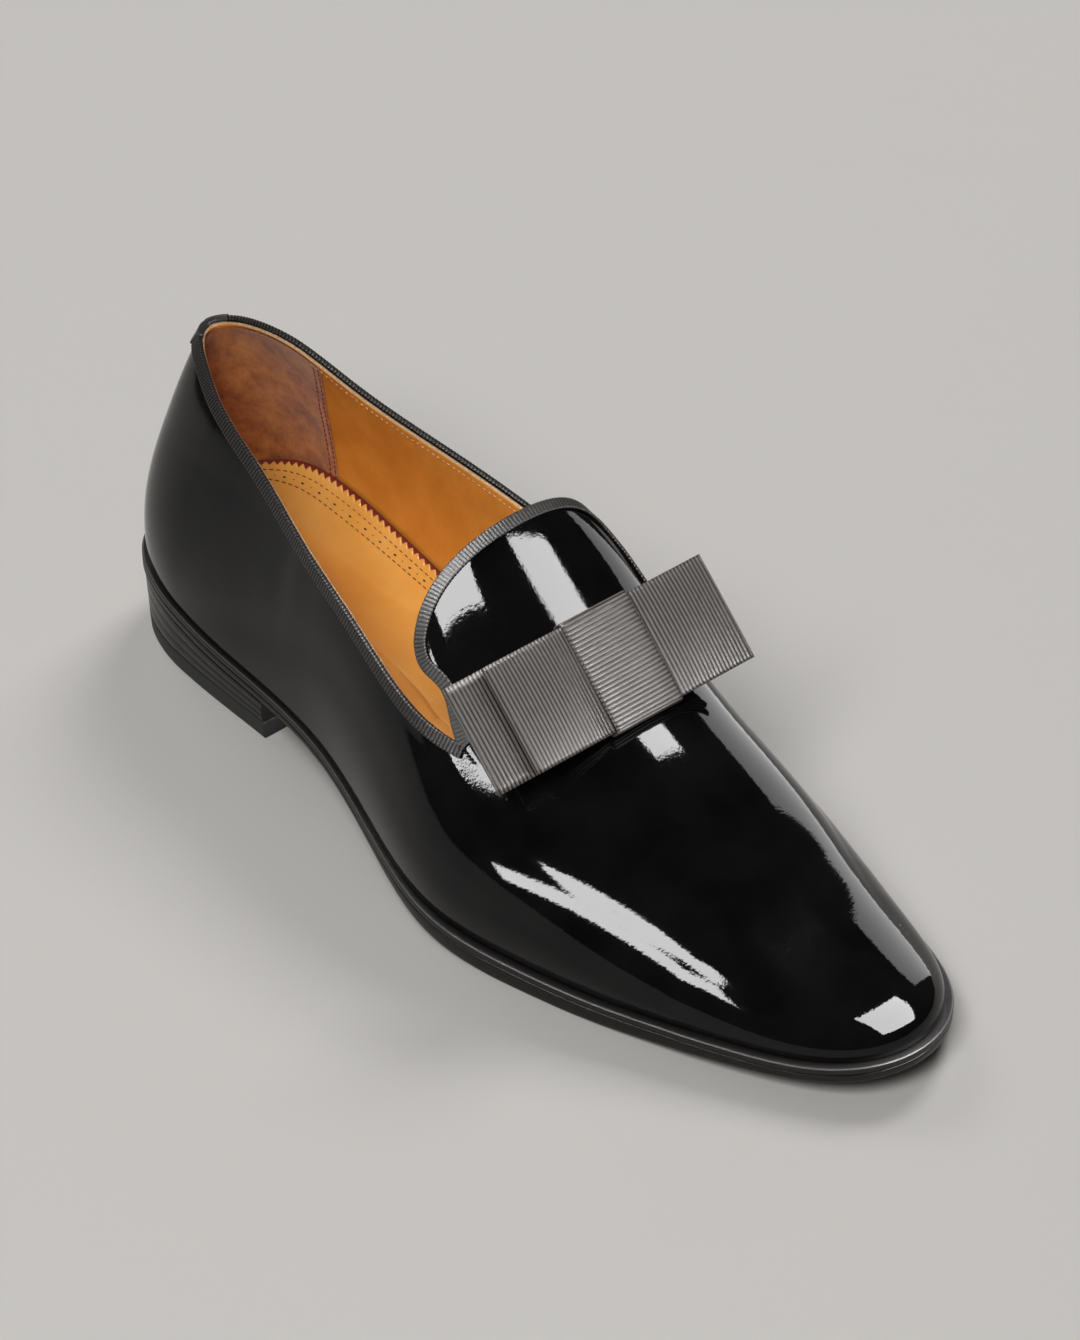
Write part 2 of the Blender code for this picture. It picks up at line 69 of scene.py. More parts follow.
# %% Sizes and tables of the last, in mm
LENGTH = 302.0
SIDE_SHIFT = -4.763     # the row frame's x = 0, seen from the middle of the heel
GAP = 0.3               # air between the upper's foot and the welt
WELT_THICK = 1.9
HEEL_ROUND = 35.7       # length of the rounded back end of the outline
TOE_ROUND = 52.7        # length of the rounded toe end of the outline
HEEL_POWER = 2.2        # 2 would make the back end a circle, more makes it squarer
NOTCH = 170.0           # station where the collar meets the tongue
TONGUE_TOP = 138.6      # station of the tongue's free end
CORNER = 0.31           # rounding of the tongue's corners, 0 is square
EDGE_DROP = 1.0         # the leather's edge sits this far below the binding's top
# s, half width, centre x, seat z, edge thickness, crown z, ridge x,
# fullness of the outer side, fullness of the inner side
SECTIONS = (
    (0.0, 31.7, 0.0, 27.9, 5.0, 96.5, 7.5, 1.7, 1.7),
    (20.0, 30.8, 0.1, 25.7, 5.0, 99.2, 7.3, 1.9, 1.5),
    (45.0, 32.0, -0.3, 21.4, 5.0, 104.5, 4.9, 1.8, 1.6),
    (74.0, 32.3, -1.1, 18.8, 4.8, 107.7, 5.5, 2.2, 2.1),
    (105.0, 33.2, -3.5, 16.4, 4.6, 107.4, 7.1, 4.4, 4.4),
    (140.0, 37.8, -8.8, 11.7, 5.0, 92.6, 16.6, 7.5, 8.0),
    (172.0, 44.7, -9.3, 8.4, 6.8, 71.8, 16.7, 5.5, 5.0),
    (203.0, 46.7, -3.4, 7.2, 7.3, 58.8, 7.2, 3.7, 3.0),
    (233.0, 43.0, 0.9, 7.4, 6.7, 45.3, 2.6, 2.6, 2.4),
    (260.0, 37.5, 3.7, 8.8, 5.9, 32.6, -1.7, 2.2, 1.7),
    (283.0, 35.8, 4.8, 10.2, 5.1, 28.6, -1.5, 2.4, 2.0),
    (302.0, 36.8, 3.8, 13.8, 5.2, 35.0, -0.1, 2.8, 2.8),
)
# Top of the collar binding: s, height on the outer side, on the inner side
COLLAR = (
    (0.0, 92.2, 92.2),
    (25.0, 89.5, 96.8),
    (55.0, 84.2, 88.9),
    (85.0, 76.4, 82.1),
    (115.0, 70.4, 75.8),
    (145.0, 61.6, 68.2),
    (170.0, 57.5, 62.5),
)
# Edge of the tongue as a share of the half girth: s, outer side, inner side
TONGUE = (
    (137.0, 0.52, 0.44),
    (148.0, 0.49, 0.44),
    (158.0, 0.435, 0.43),
    (170.0, 0.53, 0.52),
)
# How far the back of the heel leans forward at each height: z, shift
BACK_CURVE = ((26.0, 0.0), (44.0, 0.2), (64.0, 2.5), (86.0, 6.4), (100.0, 9.4))
print("sections:", len(SECTIONS), "rows")

# %% [markdown]
# Straight lines between the rows would show as bands in the patent.  A cubic
# spline bends evenly from row to row.  The sole's outline reads the same table.

# %% Curves through a table
def smooth_table(xs, ys, x):
    """Natural cubic spline through (xs, ys), read at x.

    The unknowns are the bends at the rows.  Each row asks that the slopes on its
    two sides agree, and the bend at both ends is zero.
    """
    xs, ys, x = np.asarray(xs, float), np.asarray(ys, float), np.asarray(x, float)
    n, h = len(xs), np.diff(xs)
    lhs, rhs = np.eye(n), np.zeros(n)
    mid = np.arange(1, n - 1)
    lhs[mid, mid - 1], lhs[mid, mid], lhs[mid, mid + 1] = h[:-1], 2 * (h[:-1] + h[1:]), h[1:]
    rhs[mid] = 6 * np.diff(np.diff(ys) / h)
    m = np.linalg.solve(lhs, rhs)
    k = np.clip(np.searchsorted(xs, x) - 1, 0, n - 2)
    a, b = (xs[k + 1] - x) / h[k], (x - xs[k]) / h[k]
    bend = ((a ** 3 - a) * m[k] + (b ** 3 - b) * m[k + 1]) * h[k] ** 2 / 6
    return a * ys[k] + b * ys[k + 1] + bend


def column(table, i, s):
    """Column i of a table, read smoothly at s."""
    rows = np.array(table)
    return smooth_table(rows[:, 0], rows[:, i], s)


def seat(s):
    """Height of the welt's top."""
    return column(SECTIONS, 3, s)


def underside(s):
    """Height of the outsole's lower face: the seat less the edge thickness, never under the floor."""
    return np.maximum(seat(s) - column(SECTIONS, 4, s), 0.0)


def welt_show(s):
    """Width of welt outside the upper: 1.2 at the heel, 2.5 in the forepart, eased at s = 165."""
    return 1.2 + 1.3 / (1 + np.exp(-(s - 165) / 12))


def end_factors(s, inset):
    """Rounding of the outline at the heel and the toe, 1 in between, for an outline moved in."""
    t = np.clip((s - inset) / (LENGTH - 2 * inset) * LENGTH, 0, LENGTH)
    back = np.clip(1 - t / HEEL_ROUND, 0, 1)
    front = np.clip((t - LENGTH + TOE_ROUND) / TOE_ROUND, 0, 1)
    return (1 - back ** HEEL_POWER) ** (1 / HEEL_POWER), np.sqrt(1 - front ** 2), front


def outline(s, side, inset=0.0):
    """x of the sole's edge: centre line plus or minus the half width, moved in by inset."""
    heel, toe, _ = end_factors(s, inset)
    return column(SECTIONS, 2, s) + side * (column(SECTIONS, 1, s) - inset) * heel * toe


# %% [markdown]
# ## The surface of the upper
# theta runs round a section: -1 at the outer feather line, 0 on the ridge of
# the instep and +1 at the inner feather line.  Each section is a rounded arch
# whose fullness comes from the table.

# %% The upper as a function of s and theta
BELLY = 0.05            # the arch swells by this share low on its sides
LEAN_LENGTH = 75.0      # the back curve fades out over this length


def last_surface(s, theta):
    """The rounded arch of the last.

    Its height falls with the cosine of theta.  Its half width is the root of 1
    less that cosine raised to the fullness.
    """
    s, theta = np.broadcast_arrays(np.asarray(s, float), np.asarray(theta, float))
    heel, toe, front = end_factors(s, welt_show(s))
    rise = np.clip(np.cos(theta * np.pi / 2), 0, 1)
    half = (column(SECTIONS, 1, s) - welt_show(s)) * heel * toe
    foot = seat(s) + GAP
    tall = (column(SECTIONS, 5, s) - foot) * np.sqrt(1 - front ** 2.6)
    full = np.where(theta < 0, column(SECTIONS, 7, s), column(SECTIONS, 8, s))
    side = np.sqrt(np.clip(1 - rise ** full, 0, 1))
    belly = 1 + BELLY * np.sin(np.pi * np.clip(rise / 0.6, 0, 1)) * toe
    x = column(SECTIONS, 2, s) + column(SECTIONS, 6, s) * toe * rise ** 2
    x = x + np.sign(theta) * half * side * belly
    z = foot + tall * rise
    fade = np.clip(1 - s / LEAN_LENGTH, 0, 1)
    lean = column(BACK_CURVE, 1, np.clip(z, 26, 100))
    return np.stack([s + lean * fade * fade * (3 - 2 * fade), x, z], -1)


def unit(v):
    """Vectors scaled to length one."""
    return v / np.maximum(np.linalg.norm(v, axis=-1, keepdims=True), 1e-9)


def skin_normals(s, theta):
    """Outward normals: the cross product of small steps along s and theta."""
    ds = last_surface(s + 0.05, theta) - last_surface(s - 0.05, theta)
    a, b = np.clip(theta + 2e-3, -1, 1), np.clip(theta - 2e-3, -1, 1)
    normal = unit(np.cross(ds, last_surface(s, a) - last_surface(s, b)))
    here = last_surface(s, theta)
    mid = np.clip(here[..., 0], 40, 262)
    core = np.stack([mid, column(SECTIONS, 2, mid), 0.5 * here[..., 2]], -1)
    return normal * np.sign(np.sum((here - core) * normal, -1, keepdims=True))


def theta_at(s, z, side, most=1.0):
    """Girth position at height z: the angle whose cosine is the share of the full height."""
    foot = seat(s) + GAP
    share = np.clip((z - foot) / (column(SECTIONS, 5, s) - foot), 0, most)
    return side * np.arccos(share) * 2 / np.pi


def collar_top(s, side):
    """Height of the collar binding's top."""
    return column(COLLAR, 1 if side < 0 else 2, s)


def collar_theta(s, side):
    """Girth position of the leather's edge at the collar."""
    return theta_at(s, collar_top(s, side) - EDGE_DROP, side, 0.995)


# %% [markdown]
# One square grid can't cover a shoe without bunching up.  Four do: a band for
# the quarters, one for the vamp, a U for the tongue and a half disc for the
# toe.  Their edges share the same points, so they join without a seam.

# %% Grids of the upper
ROWS, COLS = 36, 72     # cells up a side and across the instep


def notch_thetas():
    """Girth positions across the section at the notch: side, tongue, side."""
    low, high = collar_theta(NOTCH, -1), collar_theta(NOTCH, 1)
    return np.concatenate([np.linspace(-1, low, ROWS + 1), np.linspace(low, high, COLS + 1)[1:],
                           np.linspace(high, 1, ROWS + 1)[1:]])


def toe_block():
    """A square grid bent onto a half disc, so that no lines crowd at the toe's tip."""
    a, b = np.linspace(-1, 1, COLS + 1)[:, None], np.linspace(0, 1, ROWS + 1)[None, :]
    x, y = a * np.sqrt(1 - b ** 2 / 2), b * np.sqrt(1 - a ** 2 / 2)
    radius = np.clip(np.hypot(x, y), 0, 1)
    full = LENGTH - TOE_ROUND + TOE_ROUND * np.sqrt(1 - radius ** 2)
    inset = welt_show(full)
    s = inset + full / LENGTH * (LENGTH - 2 * inset)
    return s, np.where(radius < 1e-9, 0.0, 1 - np.arctan2(y, x) * 2 / np.pi)


def tongue_grid(steps=60):
    """A square grid bent to the U of the tongue, its sides read from the TONGUE table."""
    a, b = np.linspace(-1, 1, COLS + 1)[None, :], np.linspace(0, 1, steps + 1)[:, None]
    u, v = a * np.sqrt(1 - b ** 4 * CORNER), b * np.sqrt(1 - a ** 4 * CORNER)
    s = NOTCH + (TONGUE_TOP - NOTCH) * v
    low, high = collar_theta(NOTCH, -1), collar_theta(NOTCH, 1)
    left = column(TONGUE, 1, s) + (-low - column(TONGUE, 1, NOTCH)) * (1 - v)
    right = column(TONGUE, 2, s) + (high - column(TONGUE, 2, NOTCH)) * (1 - v)
    line, keep = notch_thetas()[ROWS:ROWS + COLS + 1], (1 - b) ** 2
    return s, np.where(u < 0, u * left, u * right) * (1 - keep) + line[None, :] * keep


def upper_grids():
    """The upper as four grids of (s, theta): quarters, vamp, tongue and toe."""
    turn, start = np.linspace(0, np.pi / 2, 150), welt_show(0.0)
    back = start + (NOTCH - start) * (1 - np.sin(turn)) ** 1.15
    share = np.linspace(0, 1, ROWS + 1)[None, :]
    near = -1 + (collar_theta(back, -1)[:, None] + 1) * share
    far = 1 + (collar_theta(back, 1)[:, None] - 1) * share
    quarter_s = np.concatenate([back, back[-2::-1]])[:, None] + 0 * share
    quarter_t = np.concatenate([near, far[-2::-1]])
    toe_s, toe_t = toe_block()
    rim = np.concatenate([toe_t[0, :], toe_t[1:, -1], toe_t[-1, -2::-1]])
    vamp = np.linspace(NOTCH, float(toe_s[0, -1]), 56)
    mix = (vamp - NOTCH) / (vamp[-1] - NOTCH)
    mix = (mix * mix * (3 - 2 * mix))[:, None]
    vamp_t = notch_thetas()[None, :] * (1 - mix) + rim[None, :] * mix
    return ((quarter_s, quarter_t), (vamp[:, None] + 0 * vamp_t, vamp_t),
            tongue_grid(), (toe_s, toe_t))


GRIDS = upper_grids()
print("upper grids:", [g[0].shape for g in GRIDS])


# %% [markdown]
# ## From arrays to meshes
# A grid becomes a mesh with one quad for each cell.  Grids that share an edge
# are joined by merging the points that fall together.

# %% Mesh helpers
WELD, FINE_WELD = 2e-5, 1e-6    # points closer than this many metres become one


def to_row(p):
    """Millimetres (s, x, z) to the row frame's metres: x sideways, the toe toward -Y."""
    return np.stack([p[..., 1] - SIDE_SHIFT, LENGTH / 2 - p[..., 0], p[..., 2]], -1) * 0.001


def grid_quads(shape, first=0, wrap=(False, False)):
    """Quads of a grid of points, closed round an axis where wrap says so."""
    index = first + np.arange(shape[0] * shape[1]).reshape(shape)
    if wrap[0]:
        index = np.concatenate([index, index[:1]], 0)
    if wrap[1]:
        index = np.concatenate([index, index[:, :1]], 1)
    return np.stack([index[:-1, :-1], index[1:, :-1], index[1:, 1:], index[:-1, 1:]], -1).reshape(-1, 4)


def put_mesh(name, points, quads, materials, attributes=None, merge=0.0, outward=False):
    """One object from points (s, x, z), quads and per-point attributes, shaded smooth."""
    mesh = bpy.data.meshes.new(name)
    mesh.vertices.add(len(points))
    mesh.vertices.foreach_set("co", to_row(points).astype(np.float32).ravel())
    mesh.loops.add(quads.size)
    mesh.loops.foreach_set("vertex_index", quads.astype(np.int32).ravel())
    mesh.polygons.add(len(quads))
    mesh.polygons.foreach_set("loop_start", np.arange(len(quads), dtype=np.int32) * 4)
    mesh.update(calc_edges=True)
    for key, values in (attributes or {}).items():
        layer = mesh.attributes.new(key, "FLOAT", "POINT")
        layer.data.foreach_set("value", values.astype(np.float32).ravel())
    shell = bmesh.new()
    shell.from_mesh(mesh)
    if merge:
        bmesh.ops.remove_doubles(shell, verts=shell.verts[:], dist=merge)
    if outward:
        bmesh.ops.recalc_face_normals(shell, faces=shell.faces[:])
    shell.to_mesh(mesh)
    shell.free()
    mesh.polygons.foreach_set("use_smooth", np.ones(len(mesh.polygons), bool))
    obj = bpy.data.objects.new(name, mesh)
    bpy.context.scene.collection.objects.link(obj)
    for material in materials:
        mesh.materials.append(material)
    print(name, len(mesh.vertices), "points", len(mesh.polygons), "faces")
    return obj


def end_caps(count, size):
    """Quads that close the first and the last of count rings of size points."""
    i = np.arange(size // 2 - 1)
    cap = np.stack([i, i + 1, size - 2 - i, size - 1 - i], -1)
    return cap, cap[:, ::-1] + (count - 1) * size


def join_grids(grids):
    """Points and quads of several grids in one list."""
    points, quads, first = [], [], 0
    for grid in grids:
        points.append(grid.reshape(-1, 3))
        quads.append(grid_quads(grid.shape[:2], first))
        first += grid.shape[0] * grid.shape[1]
    return np.concatenate(points), np.concatenate(quads)


# %% [markdown]
# ## Materials
# A material is a small net of nodes.  These helpers make the ones that come
# back in every net: a noise, a ramp that turns it into colours, and a bump that
# turns it into relief.

# %% Node helpers
def new_material(name, color, roughness, **sockets):
    """A Principled material with its plain values set on the shader's own sockets."""
    mat = bpy.data.materials.new(name)
    mat.use_nodes = True
    shader = mat.node_tree.nodes["Principled BSDF"]
    shader.inputs["Base Color"].default_value = (*color, 1.0)
    shader.inputs["Roughness"].default_value = roughness
    for key, value in sockets.items():
        shader.inputs[key.replace("_", " ")].default_value = value
    return mat


def plug(mat, output, socket):
    """Feed a node's output to a socket of the material's shader."""
    mat.node_tree.links.new(output, mat.node_tree.nodes["Principled BSDF"].inputs[socket])


def noise(mat, scale, detail=3.0, rough=0.55, squeeze=None):
    """Noise on Object coordinates: scale counts bumps per metre, squeeze shortens them along an axis."""
    nodes, links = mat.node_tree.nodes, mat.node_tree.links
    place = nodes.new("ShaderNodeTexCoord").outputs["Object"]
    if squeeze:
        mapping = nodes.new("ShaderNodeMapping")
        mapping.inputs["Scale"].default_value = squeeze
        links.new(place, mapping.inputs["Vector"])
        place = mapping.outputs["Vector"]
    tex = nodes.new("ShaderNodeTexNoise")
    tex.inputs["Scale"].default_value = scale
    tex.inputs["Detail"].default_value = detail
    tex.inputs["Roughness"].default_value = rough
    links.new(place, tex.inputs["Vector"])
    return tex.outputs["Fac"]


def attribute(mat, name):
    """A value kept on the points of the mesh."""
    node = mat.node_tree.nodes.new("ShaderNodeAttribute")
    node.attribute_name = name
    return node.outputs["Fac"]


def bump(mat, height, strength, distance, under=None):
    """Normals tilted by the slope of a height, starting from the normals under."""
    node = mat.node_tree.nodes.new("ShaderNodeBump")
    node.inputs["Strength"].default_value = strength
    node.inputs["Distance"].default_value = distance
    mat.node_tree.links.new(height, node.inputs["Height"])
    if under:
        mat.node_tree.links.new(under, node.inputs["Normal"])
    return node.outputs["Normal"]


def ramp(mat, value, stops):
    """A Color Ramp through (place, colour) stops; a single number stands for a grey."""
    node = mat.node_tree.nodes.new("ShaderNodeValToRGB")
    while len(node.color_ramp.elements) < len(stops):
        node.color_ramp.elements.new(0.5)
    for element, (place, color) in zip(node.color_ramp.elements, stops):
        element.position, element.color = place, (*np.broadcast_to(color, 3), 1.0)
    mat.node_tree.links.new(value, node.inputs["Fac"])
    return node.outputs["Color"]


def leather(name, color, roughness, spots=None, stops=None, grain=None, **sockets):
    """Colour from a slow noise (scale, detail), relief from a fine one (scale, detail, strength, distance)."""
    mat = new_material(name, color, roughness, **sockets)
    if spots:
        plug(mat, ramp(mat, noise(mat, *spots), stops), "Base Color")
    if grain:
        scale, detail, strength, distance = grain
        plug(mat, bump(mat, noise(mat, scale, detail), strength, distance), "Normal")
    print(name, "has", len(mat.node_tree.nodes), "nodes")
    return mat


# %% [markdown]
# Patent leather is black leather under a clear coat, which a Principled shader
# has built in.  The base has no shine of its own, so that only the coat
# reflects.  The coat isn't perfectly flat: the grain under it makes the edges
# of reflections jagged, so a fine noise bumps it.

# %% Patent leather
patent = new_material("patent", (0.004, 0.004, 0.0045), 0.3, Specular_IOR_Level=0.0,
                      Coat_Weight=1.0, Coat_Roughness=0.045, Coat_IOR=1.3)
slow, grain = noise(patent, 55, 2.0), noise(patent, 900, 2.0)
plug(patent, ramp(patent, slow, [(0.3, (0.003, 0.003, 0.0035)), (0.7, (0.007, 0.0065, 0.0065))]),
     "Base Color")
wide = bump(patent, slow, 0.06, 0.0007)
plug(patent, bump(patent, grain, 0.24, 0.00006, wide), "Coat Normal")
plug(patent, bump(patent, grain, 0.5, 0.00008, wide), "Normal")
print("patent has", len(patent.node_tree.nodes), "nodes")

# %% [markdown]
# The inside is natural leather: tan, uneven in colour, with fine pores.  A slow
# noise through a colour ramp gives the uneven tan, and a fast noise the pores.
# Suede is the same with a stronger nap and a sheen, and the edge of the lining
# is raw and pale where it was cut.

# %% Linings
lining_mat = leather(
    "lining", (0.40, 0.15, 0.03), 0.42, (90, 5.0),
    [(0.25, (0.68, 0.27, 0.030)), (0.6, (0.80, 0.35, 0.050)), (0.85, (0.86, 0.42, 0.08))],
    (1500, 2.0, 0.35, 0.0001), Specular_IOR_Level=0.4)
edge_mat = leather("lining_edge", (0.62, 0.40, 0.22), 0.7, (1300, 4.0),
                   [(0.3, (0.45, 0.24, 0.10)), (0.7, (0.78, 0.56, 0.36))])
sock_mat = leather(
    "sock", (0.70, 0.38, 0.10), 0.38, (60, 5.0),
    [(0.25, (0.86, 0.42, 0.080)), (0.55, (0.93, 0.50, 0.110)), (0.85, (0.96, 0.58, 0.16))],
    (1700, 2.0, 0.35, 0.0001), Specular_IOR_Level=0.45)
suede_mat = leather(
    "heel_grip_suede", (0.20, 0.07, 0.02), 0.95, (130, 6.0, 0.7),
    [(0.3, (0.20, 0.060, 0.010)), (0.5, (0.42, 0.15, 0.026)), (0.75, (0.62, 0.27, 0.060))],
    (2200, 3.0, 0.7, 0.0002), Specular_IOR_Level=0.15, Sheen_Weight=0.35, Sheen_Roughness=0.5)
red_mat = leather("red_underlay", (0.20, 0.012, 0.010), 0.8, (1500, 3.0),
                  [(0.3, (0.12, 0.006, 0.006)), (0.7, (0.30, 0.022, 0.016))])
thread_mat = leather("sock_thread", (0.24, 0.020, 0.014), 0.5, grain=(2500, 2.0, 0.5, 0.0001))
# the holes are not cut: dark discs stand for them, and their colour is painted shade inside the holes
hole_shade_mat = leather("punched_holes", (0.035, 0.010, 0.006), 0.9)

# %% [markdown]
# Ribbon gets a painted sheen on its ribs and painted shade between them: the
# crests are coloured lighter and the grooves darker.  Its mesh keeps the height
# of the ribs as an attribute, so colour and shape always agree.  The sole's
# edge is waxed in thin layers, so its noise is squeezed upright.

# %% Ribbon, sole and heel
def ribbon_material(name, dark, light):
    """Woven ribbon: painted shade in the grooves and a painted sheen on the ribs, read from the mesh's own rib
    height.
    """
    mat = new_material(name, dark, 0.4, Specular_IOR_Level=0.26)
    # the ramp paints the grooves dark as painted shade and the crests light as a painted sheen
    plug(mat, ramp(mat, attribute(mat, "rib"), [(0.38, dark), (0.85, light), (1.0, light)]), "Base Color")
    yarn = noise(mat, 1600, 3.0)
    plug(mat, ramp(mat, yarn, [(0.3, 0.30), (0.75, 0.55)]), "Roughness")
    plug(mat, bump(mat, yarn, 0.6, 0.00012), "Normal")
    return mat


# dark grooves (painted shade) and light crests (painted sheen) for the bow and the bindings
bow_mat = ribbon_material("bow_ribbon", (0.0015, 0.0012, 0.0012), (0.165, 0.143, 0.128))
binding_mat = ribbon_material("binding_ribbon", (0.0012, 0.0012, 0.0012), (0.045, 0.040, 0.037))
tab_mat = leather("tab_leather", (0.030, 0.028, 0.028), 0.45, grain=(1200, 3.0, 0.4, 0.0001))

sole_mat = new_material("waxed_sole_edge", (0.012, 0.010, 0.010), 0.36, Specular_IOR_Level=0.3)
layers = noise(sole_mat, 260, 4.0, 0.6, (1, 1, 6))
plug(sole_mat, ramp(sole_mat, layers, [(0.3, (0.005, 0.0045, 0.0045)), (0.75, (0.014, 0.012, 0.011))]),
     "Base Color")
plug(sole_mat, ramp(sole_mat, layers, [(0.3, 0.26), (0.8, 0.44)]), "Roughness")
plug(sole_mat, bump(sole_mat, layers, 0.25, 0.0002), "Normal")

welt_mat = leather("welt_leather", (0.012, 0.010, 0.010), 0.42, grain=(420, 4.0, 0.3, 0.0002),
                   Specular_IOR_Level=0.35)
# where the attribute line is 1 the welt's top edge is painted lighter: a painted highlight of the polished edge
plug(welt_mat, ramp(welt_mat, attribute(welt_mat, "line"),
                    [(0.35, (0.010, 0.009, 0.009)), (0.9, (0.075, 0.068, 0.063))]), "Base Color")
tip_mat = leather("heel_tip_rubber", (0.016, 0.016, 0.016), 0.62, grain=(900, 3.0, 0.3, 0.0001))
print("materials:", len(bpy.data.materials))

# %% [markdown]
# ## The patent shell and its lining
# The shell is a sheet on the surface of the last.  Solidify gives it its real
# thickness inward.  Soft troughs show where the leather was
# pulled: at the throat corners, at the end of the stiff heel counter and under
# the bow.

# %% Troughs and the patent shell
PATENT_WALL = 0.0009    # metres, as Solidify wants it
# s, theta, length along s, length along theta, depth in mm (negative is a ridge)
TROUGHS = (
    (84.0, -0.66, 5.0, 0.14, 0.16),
    (91.0, -0.62, 5.0, 0.16, -0.12),
    (176.0, -0.60, 7.0, 0.05, 0.22),
    (184.0, -0.52, 8.0, 0.05, -0.12),
    (176.0, 0.56, 7.0, 0.05, 0.20),
    (150.0, -0.80, 16.0, 0.08, 0.12),
    (28.0, -0.52, 10.0, 0.05, 0.14),
)


def troughs(s, theta):
    """Sum of soft bells: each falls off with the square of the distance along s and theta."""
    rows = np.array(TROUGHS)[:, :, None, None]
    bell = np.exp(-((s - rows[:, 0]) / rows[:, 2]) ** 2 - ((theta - rows[:, 1]) / rows[:, 3]) ** 2)
    return -np.sum(rows[:, 4] * bell, 0)


skins = [last_surface(s, t) + skin_normals(s, t) * troughs(s, t)[..., None] for s, t in GRIDS]
points, quads = join_grids(skins)
upper = put_mesh("patent_upper", points, quads, [patent], merge=WELD, outward=True)
wall = upper.modifiers.new("wall", "SOLIDIFY")
wall.thickness, wall.offset = PATENT_WALL, -1.0
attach(upper, "root")
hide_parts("upper")

# %% [markdown]
# The lining is the same sheet set a little way inside the first.  Its cut edge
# shows at the collar as a pale line, so Solidify gives the rim its own material.

# %% Lining inside the shell
LINING_DEPTH = 1.0      # mm from the skin
LINING_WALL = 0.0008
inside = [last_surface(s, t) - skin_normals(s, t) * LINING_DEPTH for s, t in GRIDS]
points, quads = join_grids(inside)
lining = put_mesh("lining", points, quads, [lining_mat, edge_mat], merge=WELD, outward=True)
wall = lining.modifiers.new("wall", "SOLIDIFY")
wall.thickness, wall.offset, wall.material_offset_rim = LINING_WALL, -1.0, 1
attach(lining, "root")


# %% [markdown]
# ## The heel grip
# Inside the heel a panel of suede keeps the foot from slipping.  It ends in a
# double seam.  It lies just inside the lining.

# %% Heel grip and its seam
GRIP_DEPTH, GRIP_FOOT, GRIP_TOP = 2.05, 30.0, 2.2   # depth, lower edge, drop of the upper edge
GRIP_START = 1.35       # station of the grip's middle, at the back of the heel


def inner_wall(s, z, side, depth):
    """Point depth inside the upper's skin at station s and height z."""
    theta = theta_at(s, z, side)
    return last_surface(s, theta) - skin_normals(s, theta) * depth


def seam_s(share):
    """Where the heel grip ends, leaning forward a little at the top."""
    return 38.5 + 4.5 * share ** 3


share = np.linspace(0, 1, 60)[None, :]
turn = np.linspace(-1, 1, 241)[:, None]
side = np.where(turn < 0, -1, 1)
s = GRIP_START + (seam_s(share) - GRIP_START) * np.abs(turn) ** 1.6
top = np.where(turn < 0, collar_top(s, -1), collar_top(s, 1)) - GRIP_TOP
z = GRIP_FOOT + (top - GRIP_FOOT) * share
grip_points = inner_wall(s, z, side, GRIP_DEPTH)
grip = put_mesh("heel_grip", grip_points.reshape(-1, 3), grid_quads(grip_points.shape[:2]), [suede_mat],
                merge=WELD / 2, outward=True)
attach(grip, "root")


# %% [markdown]
# ## Stitches
# A stitch is a small bead of thread.  One bead is made as a grid and copied
# along a path by broadcasting, so thousands cost no loop.

# %% Beads along a path
def distance(path):
    """Distance from the start of a path to each of its points."""
    return np.concatenate([[0], np.cumsum(np.linalg.norm(np.diff(path, axis=0), axis=1))])


def even_steps(path, pitch):
    """Points and directions at equal steps along a path."""
    run = distance(path)
    at = np.arange(pitch / 2, run[-1], pitch)
    here = np.stack([np.interp(at, run, path[:, i]) for i in range(3)], -1)
    ahead = np.stack([np.interp(at + 0.2, run, path[:, i]) for i in range(3)], -1)
    return here, unit(ahead - here)


def beads(name, here, ahead, up, size, material):
    """Ellipsoids of size (along, across, up) at each place: centre plus the scaled unit sphere."""
    lat = np.linspace(-np.pi / 2, np.pi / 2, 6)[:, None]
    lon = np.linspace(0, 2 * np.pi, 9)[None, :-1]
    ball = np.stack([np.cos(lat) * np.cos(lon), np.cos(lat) * np.sin(lon), np.sin(lat) + 0 * lon], -1)
    across = unit(np.cross(up, ahead))
    axes = np.stack([ahead * size[0], across * size[1], np.cross(ahead, across) * size[2]], 1)
    cloud = here[:, None, None, :] + np.einsum("ijk,nkl->nijl", ball, axes)
    one = grid_quads(ball.shape[:2], 0, (False, True))
    first = np.arange(len(here)) * ball.shape[0] * ball.shape[1]
    quads = (one[None] + first[:, None, None]).reshape(-1, 4)
    obj = put_mesh(name, cloud.reshape(-1, 3), quads, [material], merge=FINE_WELD, outward=True)
    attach(obj, "root")
    return obj


def wall_beads(name, rows, size, material):
    """Beads along rows of (points, directions) on the inner wall, facing the middle of the shoe."""
    here, ahead = (np.concatenate(part) for part in zip(*rows))
    inward = unit(np.stack([0 * here[:, 0], -here[:, 1], 0 * here[:, 0]], -1))
    beads(name, here, ahead, inward, size, material)


seams = []
share = np.linspace(0.02, 0.97, 90)
for way in (-1, 1):
    for back in (0.9, 3.1):
        s = seam_s(share) - back
        z = GRIP_FOOT + (collar_top(s, way) - GRIP_TOP - GRIP_FOOT) * share
        seams.append(even_steps(inner_wall(s, z, way, GRIP_DEPTH + 0.05), 2.0))
wall_beads("heel_grip_seams", seams, (0.85, 0.28, 0.22), thread_mat)

# %% [markdown]
# A fine row of pale stitches closes the lining to the leather below the collar.

# %% Stitches along the top of the lining
s = np.linspace(10, 167, 220)
rims = [even_steps(inner_wall(s, collar_top(s, way) - 3.4, way, 2.0), 1.9) for way in (-1, 1)]
wall_beads("lining_edge_stitches", rims, (0.55, 0.16, 0.14), edge_mat)

# %% [markdown]
# ## The sock
# The sock is the leather footbed.  It is cupped: its edge climbs the wall of
# the heel.  The edge is cut with pinking shears over a strip of red leather,
# and two rows of stitches run along it with punched holes between them.

